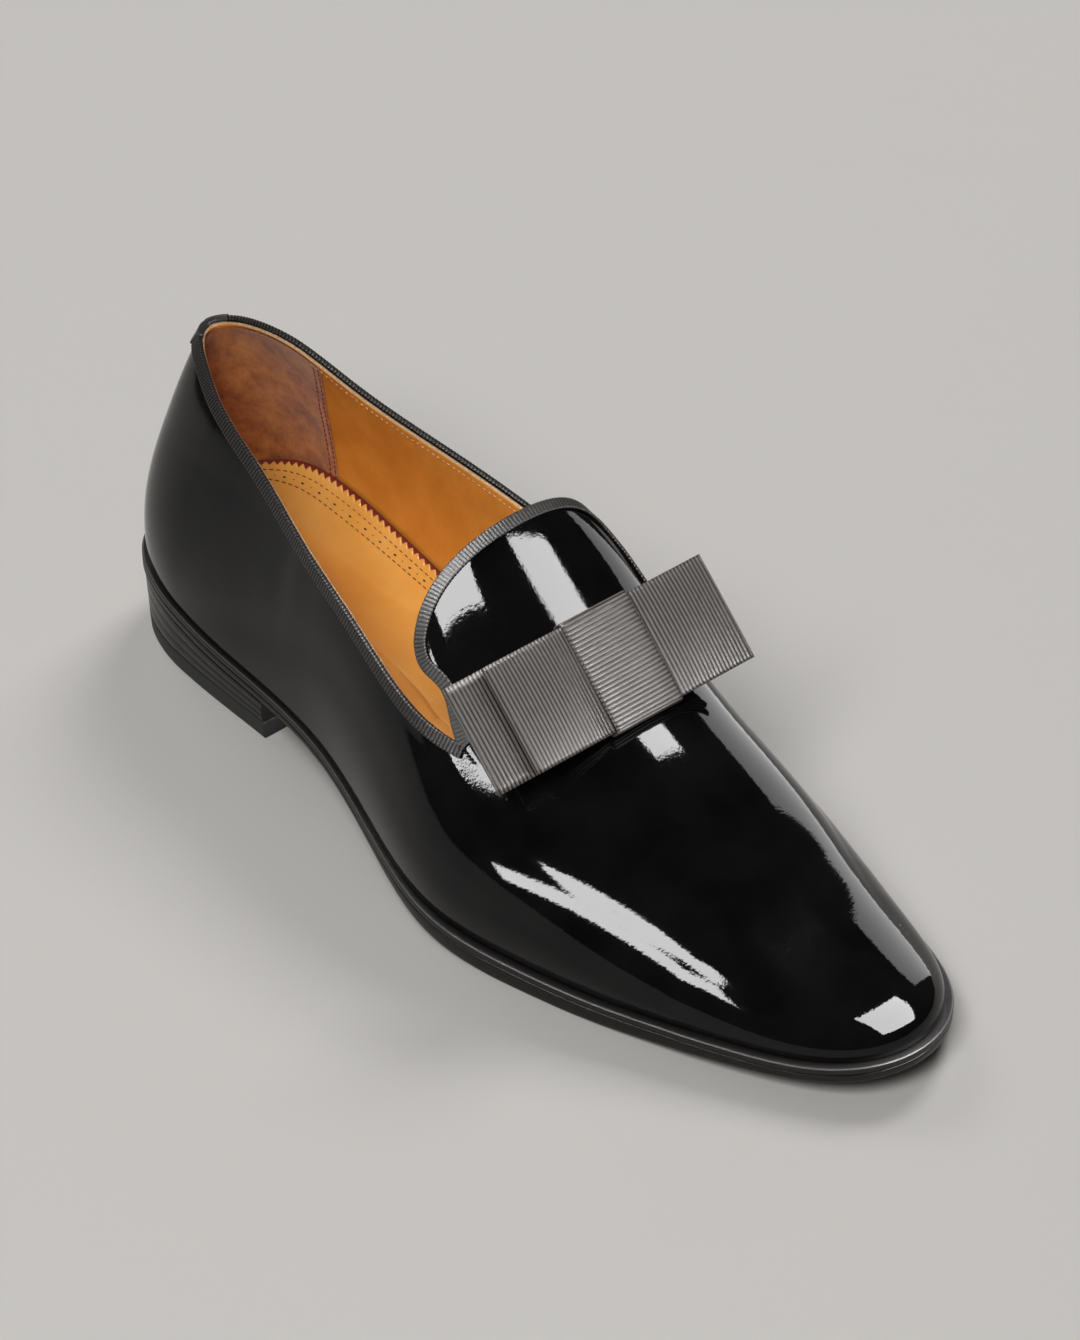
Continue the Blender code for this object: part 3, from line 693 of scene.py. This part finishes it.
# %% Edge of the sock
SOCK_STEP = 0.65        # distance between points along the edge
TOOTH, TOOTH_DEPTH = 2.6, 0.9
OVERLAP = 0.5           # each half goes this far past the centre line
CUP = 11.0              # width of the rounded border
# s, height of the sock's edge above the floor
SOCK_EDGE = (
    (0.0, 35.5), (10.0, 37.6), (23.0, 41.3), (35.0, 42.0), (48.0, 40.6), (60.0, 37.9), (74.0, 34.6),
    (82.0, 33.0), (100.0, 29.0), (130.0, 23.0), (170.0, 17.5), (215.0, 15.0), (250.0, 14.6), (288.0, 16.4))


def sock_path():
    """The line where the sock meets the wall, from the toe round the heel and back to the toe."""
    s = 1.0 + 286.0 * np.concatenate([np.linspace(1, 0, 500), np.linspace(0, 1, 500)[1:]]) ** 2
    way = np.where(np.arange(len(s)) < 500, -1, 1)
    z = column(SOCK_EDGE, 1, s)
    return inner_wall(s, z, way, 2.5)


def resample(path, step):
    """The path at equal distances, about step apart, and those distances."""
    run = distance(path)
    at = np.linspace(0, run[-1], int(run[-1] / step) + 1)
    return np.stack([np.interp(at, run, path[:, i]) for i in range(3)], -1), at


def sock_surface(edge, inward):
    """Point inward mm in from the edge: toward the centre line, falling to the footbed on a round cup.

    Past the centre line each half dips, so the two cross without a gap.
    """
    middle_s = np.clip(edge[..., 0], 34, 276)
    middle = np.stack([middle_s, column(SECTIONS, 2, middle_s) + 1.5, 0 * middle_s], -1)
    flat = edge * [1, 1, 0]
    reach = np.linalg.norm(middle - flat, axis=-1)
    share = np.clip(inward / reach, 0, 1 + OVERLAP / reach)
    place = flat + (middle - flat) * share[..., None]
    bed = seat(place[..., 0]) + 5.2 - 0.3 * np.clip((share - 1) * reach, 0, None)
    climb = np.clip(edge[..., 2] - bed, 0, None)
    cup = np.clip(1 - inward / CUP, 0, 1)
    place[..., 2] = bed + climb * cup ** 1.8
    return place


edge, run = resample(sock_path(), SOCK_STEP)
print("edge of the sock, mm:", round(float(run[-1]), 1))
teeth = np.abs((run / TOOTH) % 1.0 - 0.5) * 2
steps = np.concatenate([np.linspace(0, 12, 24), np.linspace(14, 50, 12)])
inset = steps[None, :] + (teeth * TOOTH_DEPTH)[:, None] * np.clip(1 - steps / 3.0, 0, 1)[None, :]
bed = sock_surface(np.repeat(edge[:, None], len(steps), 1), inset)
sock = put_mesh("sock", bed.reshape(-1, 3), grid_quads(bed.shape[:2]), [sock_mat], merge=WELD)
cover = sock.modifiers.new("leather", "SOLIDIFY")
cover.thickness, cover.offset = 0.0006, 0.0
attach(sock, "root")
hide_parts("insole")

# %% [markdown]
# The red strip lies just under the sock and shows between its teeth.  Large
# and small holes take turns between the two rows of stitches: dark discs whose
# colour is painted shade inside the holes.

# %% Red underlay, stitches and punched holes
UNDERLAY_DROP = 0.45
steps = np.linspace(-1.1, 4.0, 8)
rough_edge = np.repeat(edge[::3, None], len(steps), 1)
under = sock_surface(rough_edge, np.clip(steps, 0, None)[None, :] + 0 * edge[::3, :1])
under[..., 2] += np.clip(-steps, 0, None)[None, :] - UNDERLAY_DROP
underlay = put_mesh("red_underlay", under.reshape(-1, 3), grid_quads(under.shape[:2]), [red_mat])
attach(underlay, "root")


def sock_beads(name, inward, pitch, lift, size, material, pick=slice(None)):
    """Beads on the sock along its edge, inward mm in and lift mm up; pick keeps some of them."""
    here, ahead = even_steps(sock_surface(edge, inward + 0 * run), pitch)
    up = np.tile([0.0, 0.0, 1.0], (len(here), 1))
    beads(name, (here + up * lift)[pick], ahead[pick], up[pick], size, material)


sock_beads("sock_stitches_outer", 1.9, 2.3, 0.38, (0.95, 0.24, 0.20), thread_mat)
sock_beads("sock_stitches_inner", 4.0, 2.3, 0.38, (0.95, 0.24, 0.20), thread_mat)
sock_beads("punched_holes_large", 2.9, 3.3, 0.30, (0.62, 0.62, 0.16), hole_shade_mat, slice(0, None, 2))
sock_beads("punched_holes_small", 2.9, 3.3, 0.30, (0.34, 0.34, 0.14), hole_shade_mat, slice(1, None, 2))


# %% [markdown]
# ## Ribbed ribbon
# The bindings and the bow are grosgrain, a ribbon woven with thick ribs across
# it.  A rib is a real ridge here, half a wave round and sharp in the groove,
# because the light must catch each one.

# %% Binding along an edge
BINDING_PITCH, BINDING_RIB = 1.15, 0.14     # distance and height of the ribs


def crests(run, pitch):
    """Ribs as a number from 0 in a groove to 1 on a crest: the size of a sine."""
    return np.abs(np.sin(np.pi * run / pitch))


def ribs(run, pitch, depth):
    """Height of the ribs at distance run, with broad crests and sharp grooves."""
    return depth * (crests(run, pitch) ** 0.8 - 0.6)


def edge_ribbon(name, s, theta, into, profile, pitch, depth, material):
    """A closed profile (into the leather, outward) carried along an edge at equal steps."""
    path, lean = last_surface(s, theta), skin_normals(s, theta)
    run = distance(path)
    print(name, "runs", round(float(run[-1]), 1), "mm along the edge")
    at = np.linspace(0, run[-1], int(run[-1] / (pitch / 8)) + 1)
    here = np.stack([smooth_table(run, path[:, i], at) for i in range(3)], -1)
    normal = unit(np.stack([smooth_table(run, lean[:, i], at) for i in range(3)], -1))
    down = unit(np.cross(normal, unit(np.gradient(here, axis=0)))) * into
    out = unit(np.roll(profile, -1, 0) - np.roll(profile, 1, 0))[:, ::-1] * [1, -1]
    middle = profile.mean(0)
    out = out * np.sign(np.sum(out * (profile - middle), -1, keepdims=True) + 1e-9)
    shift = ribs(at, pitch, depth)[:, None, None]
    spot = profile[None] + out[None] * shift
    ring = here[:, None] + down[:, None] * spot[..., :1] + normal[:, None] * spot[..., 1:]
    count, size = ring.shape[:2]
    quads = np.concatenate([grid_quads((count, size), 0, (False, True)), *end_caps(count, size)])
    crest = np.repeat(crests(at, pitch)[:, None], size, 1)
    obj = put_mesh(name, ring.reshape(-1, 3), quads, [material], {"rib": crest}, merge=FINE_WELD, outward=True)
    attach(obj, "root")
    return obj


def wrap_profile(out, high, inside, leg, lift):
    """A folded ribbon: a leg down the outside, a round top and a short lip inside.

    out and inside are its two faces, high its top, leg the outside length, lift how far the leg stands off.
    """
    turn = np.linspace(-90, 90, 9) * np.pi / 180
    mid, half = (out + inside) / 2, (out - inside) / 2
    top = np.stack([-high - 0.35 * np.cos(turn) + 0.35, mid - half * np.sin(turn)], -1)
    outer = np.stack([np.linspace(leg, -high + 0.5, 8), np.linspace(out + lift, out, 8)], -1)
    inner = np.array([(-0.15, inside), (-0.15, 0.12)])
    back = np.stack([np.linspace(0.3, leg, 7), np.linspace(0.10, 0.10 + lift, 7)], -1)
    return np.concatenate([outer, top, inner, back])


profile = wrap_profile(0.85, 0.95, -0.75, 2.7, 0.12)
(qs, qt), _, (ts, tt), _ = GRIDS
collar = edge_ribbon("collar_ribbon", qs[:, -1], qt[:, -1], 1, profile, BINDING_PITCH, BINDING_RIB,
                     binding_mat)
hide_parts("collar_binding")
path_s = np.concatenate([ts[1:, 0], ts[-1, 1:-1], ts[1:, -1][::-1]])
path_t = np.concatenate([tt[1:, 0], tt[-1, 1:-1], tt[1:, -1][::-1]])
tongue_edge = edge_ribbon("tongue_ribbon", path_s, path_t, -1, profile, BINDING_PITCH, BINDING_RIB,
                          binding_mat)
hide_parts("tongue_binding")

# %% [markdown]
# At the back a small smooth patch covers the binding.  It is the same fold,
# a little wider and without ribs, along a few stations only.

# %% The tab at the back
TAB_HALF = 6.8
run = distance(last_surface(qs[:, -1], qt[:, -1]))
near_tab = np.abs(run - run[len(run) // 2]) < TAB_HALF
patch = wrap_profile(1.12, 1.2, -1.0, 3.3, 0.12)
tab = edge_ribbon("back_tab", qs[near_tab, -1], qt[near_tab, -1], 1, patch, 1.0, 0.0, tab_mat)
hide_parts("heel_tab")

# %% [markdown]
# ## The bow
# Two loops of ribbon lie on each other, pressed flat, and a band goes round
# both.  Each loop is a closed outline in the plane of the bow, swept across
# the width of the ribbon.  The lower loops hang down at the outer end.

# %% Bow frame and outlines
BOW_WIDTH = 31.5        # ribbon width, along the shoe
HALF_WIDTH = BOW_WIDTH / 2
BAND_HALF = 11.5        # half the width of the band
RIBBON = 0.55           # thickness
BOW_AT = (188.1, 2.1, 75.9)
BOW_TILT, BOW_TURN = 43.0, 1.5      # degrees
REACH = 37.0            # from the band's side to the far fold of the lower loops
RIB_PITCH, LOOP_RIB, BAND_RIB = 1.22, 0.20, 0.18
tilt, turn = np.radians(BOW_TILT), np.radians(BOW_TURN)
# rows: along the ribbon, across it toward the toe, out of the shoe
BOW_AXES = np.array([
    [np.sin(turn), np.cos(turn), 0.0],
    [np.cos(tilt) * np.cos(turn), -np.cos(tilt) * np.sin(turn), -np.sin(tilt)],
    [np.sin(tilt) * np.cos(turn), -np.sin(tilt) * np.sin(turn), np.cos(tilt)]])


def flat_loop(left, right, top, drop, thick, thick_end, steps=60):
    """Outline of a pressed loop, flat under the band.

    Outside the band it falls by drop and opens from thick to thick_end, with the
    square of the distance, toward its two half-round folds.
    """
    radius = thick_end / 2
    run = np.linspace(left + radius, right - radius, steps + 1)
    share = (np.clip(np.abs(run) - BAND_HALF, 0, None) / REACH) ** 2
    high = top - drop * share
    low = high - thick - (thick_end - thick) * np.clip(share * 1.8, 0, 1)
    fold = np.linspace(90, -90, 14)[1:-1] * np.pi / 180
    mids, sizes = (high + low) / 2, (high - low) / 2
    right_fold = np.stack([run[-1] + radius * np.cos(fold), mids[-1] + sizes[-1] * np.sin(fold)], -1)
    left_fold = np.stack([run[0] - radius * np.cos(fold), mids[0] - sizes[0] * np.sin(fold)], -1)
    upper_side, lower_side = np.stack([run, high], -1), np.stack([run, low], -1)
    return np.concatenate([upper_side, right_fold, lower_side[::-1], left_fold])


def ribbon_loop(name, loop, order, puff, depth, half, steps):
    """Ribbon along a closed outline: ribs lift the outer face, and puff(along, across) bows the piece.

    order says which bow axes the outline's two directions and the sweep use.  A
    whole number of ribs goes round, so that they meet where the loop closes.
    """
    closed = np.concatenate([loop, loop[:1]])
    run = distance(closed)
    pitch = run[-1] / round(run[-1] / RIB_PITCH)
    print(name, "is", round(float(run[-1]), 1), "mm round and", 2 * half, "mm wide")
    at = np.linspace(0, run[-1], int(round(run[-1] / pitch)) * 7 + 1)[:-1]
    line = np.stack([np.interp(at, run, closed[:, i]) for i in range(2)], -1)
    ahead = unit(np.roll(line, -3, 0) - np.roll(line, 3, 0))
    out = np.stack([-ahead[:, 1], ahead[:, 0]], -1)
    faces = np.stack([line + out * ribs(at, pitch, depth)[:, None], line - out * RIBBON])
    cube = np.zeros((2, steps, len(line), 3))
    cube[..., order[0]], cube[..., order[1]] = faces[:, None, :, 0], faces[:, None, :, 1]
    cube[..., order[2]] = np.linspace(-half, half, steps)[None, :, None]
    high = np.clip((cube[..., 2] - loop[:, 1].min()) / np.ptp(loop[:, 1]), 0, 1)
    cube[..., 2] += puff(cube[..., 0], cube[..., 1]) * high
    points = np.array(BOW_AT) + cube @ BOW_AXES
    ring = np.concatenate([points[0], points[1][::-1]])
    crest = np.repeat(crests(at, pitch)[None], 2 * steps, 0)
    obj = put_mesh(name, ring.reshape(-1, 3), grid_quads(ring.shape[:2], 0, (True, True)), [bow_mat],
                   {"rib": crest}, outward=True)
    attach(obj, "root")
    return obj


# %% [markdown]
# Ribbon is never quite flat.  The upper loops swell in the middle and dip
# where the band holds them, more so toward the toe on the outer side.

# %% Loops and band
def loop_puff(along, across):
    """Swell of the upper loops across the middle of each side; beside the band the ribbon dips."""
    side = np.clip((np.abs(along) - BAND_HALF) / 26.0, 0, 1)
    swell = 0.8 * np.sin(np.pi * side) * np.cos(np.pi * across / 36)
    toward_toe = 0.5 + across / BOW_WIDTH
    dip = np.where(along < 0, 0.35 + 0.9 * toward_toe, 0.3) * np.exp(-((np.abs(along) - 12.0) / 3.2) ** 2)
    return swell - dip - 0.25 * (across / HALF_WIDTH) ** 4


def lower_puff(along, across):
    """The lower loops lie almost flat and dip a little at both edges."""
    return -0.25 * (across / HALF_WIDTH) ** 2


def band_puff(along, across):
    """The band is drawn in: its two sides turn down."""
    return -0.55 * np.abs(along / BAND_HALF) ** 4


upper_line = flat_loop(-38.3, 38.3, top=-0.8, drop=-0.8, thick=1.4, thick_end=3.4)
lower_line = flat_loop(-48.5, 36.0, top=-2.5, drop=4.0, thick=1.4, thick_end=2.6)
upper_bow = ribbon_loop("bow_upper", upper_line, (0, 2, 1), loop_puff, LOOP_RIB, HALF_WIDTH, 24)
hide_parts("bow_upper_loops")
lower_bow = ribbon_loop("bow_lower", lower_line, (0, 2, 1), lower_puff, LOOP_RIB, HALF_WIDTH, 14)
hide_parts("bow_lower_loops")

# the band's outline: a flat rectangle with rounded corners
arc = np.linspace(0, np.pi / 2, 8)
half, top, low, soft = 16.6, 0.15, -4.93, 1.6
corner = np.stack([np.sin(arc), np.cos(arc)], -1) * soft
band_line = np.concatenate([
    np.stack([np.linspace(-half + soft, half - soft, 40), np.full(40, top)], -1),
    corner + [half - soft, top - soft],
    corner[::-1] * [1, -1] + [half - soft, low + soft],
    np.stack([np.linspace(half - soft, -half + soft, 40), np.full(40, low)], -1),
    corner * [-1, -1] + [-half + soft, low + soft],
    corner[::-1] * [-1, 1] + [-half + soft, top - soft]])
band = ribbon_loop("bow_centre", band_line, (1, 2, 0), band_puff, BAND_RIB, BAND_HALF, 24)
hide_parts("bow_band")

# %% [markdown]
# ## Sole, welt and heel
# Each is a stack of outlines of the sole, moved in or out and up or down, so
# their edges can be rounded the way a shoemaker's iron leaves them.

# %% Stacks of outlines
def edge_loop(s, inset, height, end=LENGTH):
    """Closed loop round the sole, moved in by inset, at height(s)."""
    row = np.minimum(inset + s * (LENGTH - 2 * inset) / LENGTH, end)
    near = np.stack([row, outline(row, -1, inset), height(row)], -1)
    far = np.stack([row, outline(row, 1, inset), height(row)], -1)
    return np.concatenate([near, far[::-1]])


def stack(name, loops, material, node, ring=False, highlight_rows=()):
    """Solid from loops of equal size, capped or closed as a ring; the loops picked for a painted highlight get
    the attribute line.
    """
    loops = np.stack(loops)
    count, size = loops.shape[:2]
    quads = grid_quads((count, size), 0, (ring, True))
    if not ring:
        quads = np.concatenate([quads, *end_caps(count, size)])
    line = np.repeat(np.isin(np.arange(count), highlight_rows)[:, None], size, 1)
    obj = put_mesh(name, loops.reshape(-1, 3), quads, [material], {"line": line}, merge=FINE_WELD, outward=True)
    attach(obj, "root")
    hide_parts(node)
    return obj


def stacked(rows, base):
    """Loops round the whole sole for rows of (inset, height above base)."""
    full = LENGTH * (1 - np.cos(np.linspace(0, np.pi, 260))) / 2
    return [edge_loop(full, inset, lambda s, h=h: base(s) + h) for inset, h in rows]


welt_rows = ((8.0, 0.0), (3.0, 0.0), (0.55, 0.02), (0.30, -0.04), (0.10, -0.18), (0.0, -0.42), (0.0, -1.75),
             (0.06, -1.86), (0.15, -1.9), (8.0, -1.9))
# rows 3 and 4, on the welt's rounded top edge, carry the painted highlight line
stack("welt_strip", stacked(welt_rows, seat), welt_mat, "welt", ring=True, highlight_rows=(3, 4))
loops = stacked(((1.4, 0.0), (0.8, 0.05), (0.35, 0.3), (0.1, 0.7), (0.0, 1.3)), underside)
loops += stacked(((0.0, -0.5), (0.06, -0.34), (0.15, -0.3), (0.5, -0.3)), lambda s: seat(s) - WELT_THICK)
stack("leather_sole", loops, sole_mat, "outsole")

# %% [markdown]
# The heel is built of lifts, layers of leather with a fine groove between
# them, on a harder bottom layer that takes the wear.

# %% Heel
HEEL_LENGTH, TOP_PIECE = 76.0, 6.0      # back to breast, height of the bottom layer
LIFT_FOOT = TOP_PIECE + GAP
heel = np.concatenate([2 * HEEL_ROUND * (1 - np.cos(np.linspace(0, np.pi / 2, 60))) / 2,
                       np.linspace(HEEL_ROUND + 1, HEEL_LENGTH - 0.3, 40), [HEEL_LENGTH]])


def heel_height(share):
    """Function of s: the height this share of the way up from the bottom layer to the sole."""
    return lambda s: LIFT_FOOT + (underside(s) - GAP - LIFT_FOOT) * share


lifts = []
for lift in (0.0, 0.33, 0.66):          # where each lift starts, as a share of the heel's height
    for inset, step in ((0.14, 0.0), (0.0, 0.035), (0.0, 0.30), (0.14, 0.33)):
        share = min(lift + step, 0.995)
        lifts.append(edge_loop(heel, 1.0 - 0.6 * share + inset, heel_height(share), HEEL_LENGTH))
stack("heel_lifts", lifts, sole_mat, "heel_stack")
tip = ((1.9, 0.0), (1.4, 0.25), (1.2, 0.8), (1.0, 5.2), (1.1, 5.8), (1.4, 6.0))
stack("heel_tip", [edge_loop(heel, inset, lambda s, h=h: 0 * s + h, HEEL_LENGTH) for inset, h in tip],
      tip_mat, "heel_top_piece")

# %% [markdown]
# ## Bar-tacks at the throat
# Where collar and tongue meet, a few tight stitches hold the corner.

# %% Bar-tacks
TACKS = 6
spots, across = [], []
for way in (-1, 1):
    rows = NOTCH + np.linspace(-1.2, 4.2, TACKS)
    theta = np.full(TACKS, float(collar_theta(NOTCH, way)))
    spots.append(last_surface(rows, theta) + skin_normals(rows, theta) * 0.25)
    across.append(np.tile([0.15, 1.0 * way, 0.55], (TACKS, 1)))
up = np.tile([0.3, 0.0, 1.0], (2 * TACKS, 1))
beads("throat_bar_tacks", np.concatenate(spots), unit(np.concatenate(across)), unit(up),
              (1.7, 0.42, 0.38), binding_mat)

# %% [markdown]
# ## Floor, light and camera
# The floor is plain, pale and dull, so that it glows with the lamps and
# reflects none of them.

# %% Floor
FLOOR_HALF = 6
mesh = bpy.data.meshes.new("floor")
mesh.from_pydata([(x * FLOOR_HALF, y * FLOOR_HALF, 0) for x, y in ((-1, -1), (1, -1), (1, 1), (-1, 1))],
                 [], [(0, 1, 2, 3)])
floor = bpy.data.objects.new("floor", mesh)
bpy.context.scene.collection.objects.link(floor)
mesh.materials.append(new_material("floor", (0.62, 0.60, 0.575), 1.0, Specular_IOR_Level=0.0))
floor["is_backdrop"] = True
print("floor:", 2 * FLOOR_HALF, "m wide")

# %% [markdown]
# Patent leather is a mirror: what the eye takes for its shape are pictures of
# the lamps.  So each highlight has its own lamp, close to the shoe and set
# where the leather throws it to the camera, and seen only in reflections.
# Three large soft lamps light the floor, the lining and the ribbon.

# %% Lights
def lamp(name, target, place, roll, size, power, diffuse=True, glossy=True):
    """Area lamp at place (azimuth, elevation, distance) from target, facing it.

    Azimuth 0 is the heel's way, 90 the inner side's.  roll turns the lamp in its
    own plane, size is its width and height.
    """
    az, el, turn = np.radians(place[0]), np.radians(place[1]), np.radians(roll)
    z = np.array([np.sin(az) * np.cos(el), np.cos(az) * np.cos(el), np.sin(el)])
    level = np.array([np.cos(az), -np.sin(az), 0.0])
    rise = np.cross(level, z)
    rise = rise * np.sign(rise[2])
    x = level * np.cos(turn) + rise * np.sin(turn)
    m = np.eye(4)
    m[:3, 0], m[:3, 1], m[:3, 2] = x, np.cross(z, x), z
    m[:3, 3] = np.array(target) + z * place[2]
    data = bpy.data.lights.new(name, "AREA")
    data.shape, data.size, data.size_y, data.energy = "RECTANGLE", size[0], size[1], power
    obj = bpy.data.objects.new(name, data)
    bpy.context.scene.collection.objects.link(obj)
    obj.matrix_world = Matrix(m.tolist())
    obj.visible_camera, obj.visible_diffuse, obj.visible_glossy = False, diffuse, glossy
    return obj


def shine(name, target, place, roll, size, radiance=34.0):
    """A lamp seen only in reflections; its power is its radiance times pi times its area."""
    return lamp(name, target, place, roll, size, radiance * np.pi * size[0] * size[1], diffuse=False)


shine("near_streak", (-0.035, -0.06, 0.03), (-99.5, 25.8, 0.121), 60.3, (0.016, 0.14))
shine("tongue_left", (-0.013, 0.006, 0.084), (-100.1, 77.3, 0.081), -60.7, (0.07, 0.058))
shine("throat", (-0.034, -0.023, 0.054), (-76.5, 31.3, 0.296), 23.5, (0.03, 0.13))
shine("inner_side", (0.03, -0.10, 0.030), (74.0, 15.0, 0.30), -5.0, (0.12, 0.20), 3.4)
shine("under_band", (0.005, -0.03, 0.07), (106.0, 58.0, 0.148), 72.4, (0.042, 0.032), 31.0)
shine("toe_box", (0.004, -0.139, 0.023), (149.0, 57.0, 0.104), 26.0, (0.105, 0.12), 33.0)
MIDDLE = (0.0, 0.0, 0.05)
lamp("key", MIDDLE, (-118, 52, 2.6), 0, (1.2, 1.2), 44.0, glossy=False)
lamp("side", MIDDLE, (70, 50, 2.6), 0, (0.9, 0.9), 26.0, glossy=False)
lamp("back", MIDDLE, (5, 40, 2.6), 0, (1.4, 0.8), 12.0)
world = bpy.data.worlds.new("studio")
bpy.context.scene.world = world
world.use_nodes = True
sky = world.node_tree.nodes["Background"].inputs
sky["Color"].default_value = (0.93, 0.96, 1.0, 1.0)
sky["Strength"].default_value = 0.03
print("lamps:", len(bpy.data.lights))

# %% [markdown]
# The camera stands where the photographer's stood: yaw and pitch, distance and
# focal length were worked out together with the shape of the shoe, from points
# on the sole's edge and the collar.

# %% Camera
YAW, PITCH = 42.08, 38.43                   # degrees: to the right of +Y, below level
FOCAL, PICTURE_HEIGHT = 4748.6, 1340        # in pixels of the photograph
SENSOR = 36.0
EYE = (-677.1, -756.4, 857.6)               # mm, x from the middle of the heel
yaw, pitch = np.radians(YAW), np.radians(PITCH)
forward = np.array([np.sin(yaw) * np.cos(pitch), np.cos(yaw) * np.cos(pitch), -np.sin(pitch)])
right = np.array([np.cos(yaw), -np.sin(yaw), 0.0])
data = bpy.data.cameras.new("camera")
data.sensor_fit, data.sensor_width, data.lens = "AUTO", SENSOR, SENSOR * FOCAL / PICTURE_HEIGHT
data.clip_start = 0.05
camera = bpy.data.objects.new("camera", data)
bpy.context.scene.collection.objects.link(camera)
m = np.eye(4)
m[:3, 0], m[:3, 1], m[:3, 2] = right, np.cross(right, forward), -forward
m[:3, 3] = (np.array(EYE) - [SIDE_SHIFT, 0, 0]) * 0.001
camera.matrix_world = Matrix(m.tolist())
bpy.context.scene.camera = camera
bpy.context.scene.view_settings.view_transform = "Standard"
print("camera at", np.round(camera.matrix_world.translation, 3), "m, lens", round(data.lens, 1), "mm")

# %% [markdown]
# Last, the size of the dressed shoe is printed.

# %% Sizes and finish
low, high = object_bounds()
print("visual box, mm:", np.round((np.array(high) - np.array(low)) * 1000, 1))
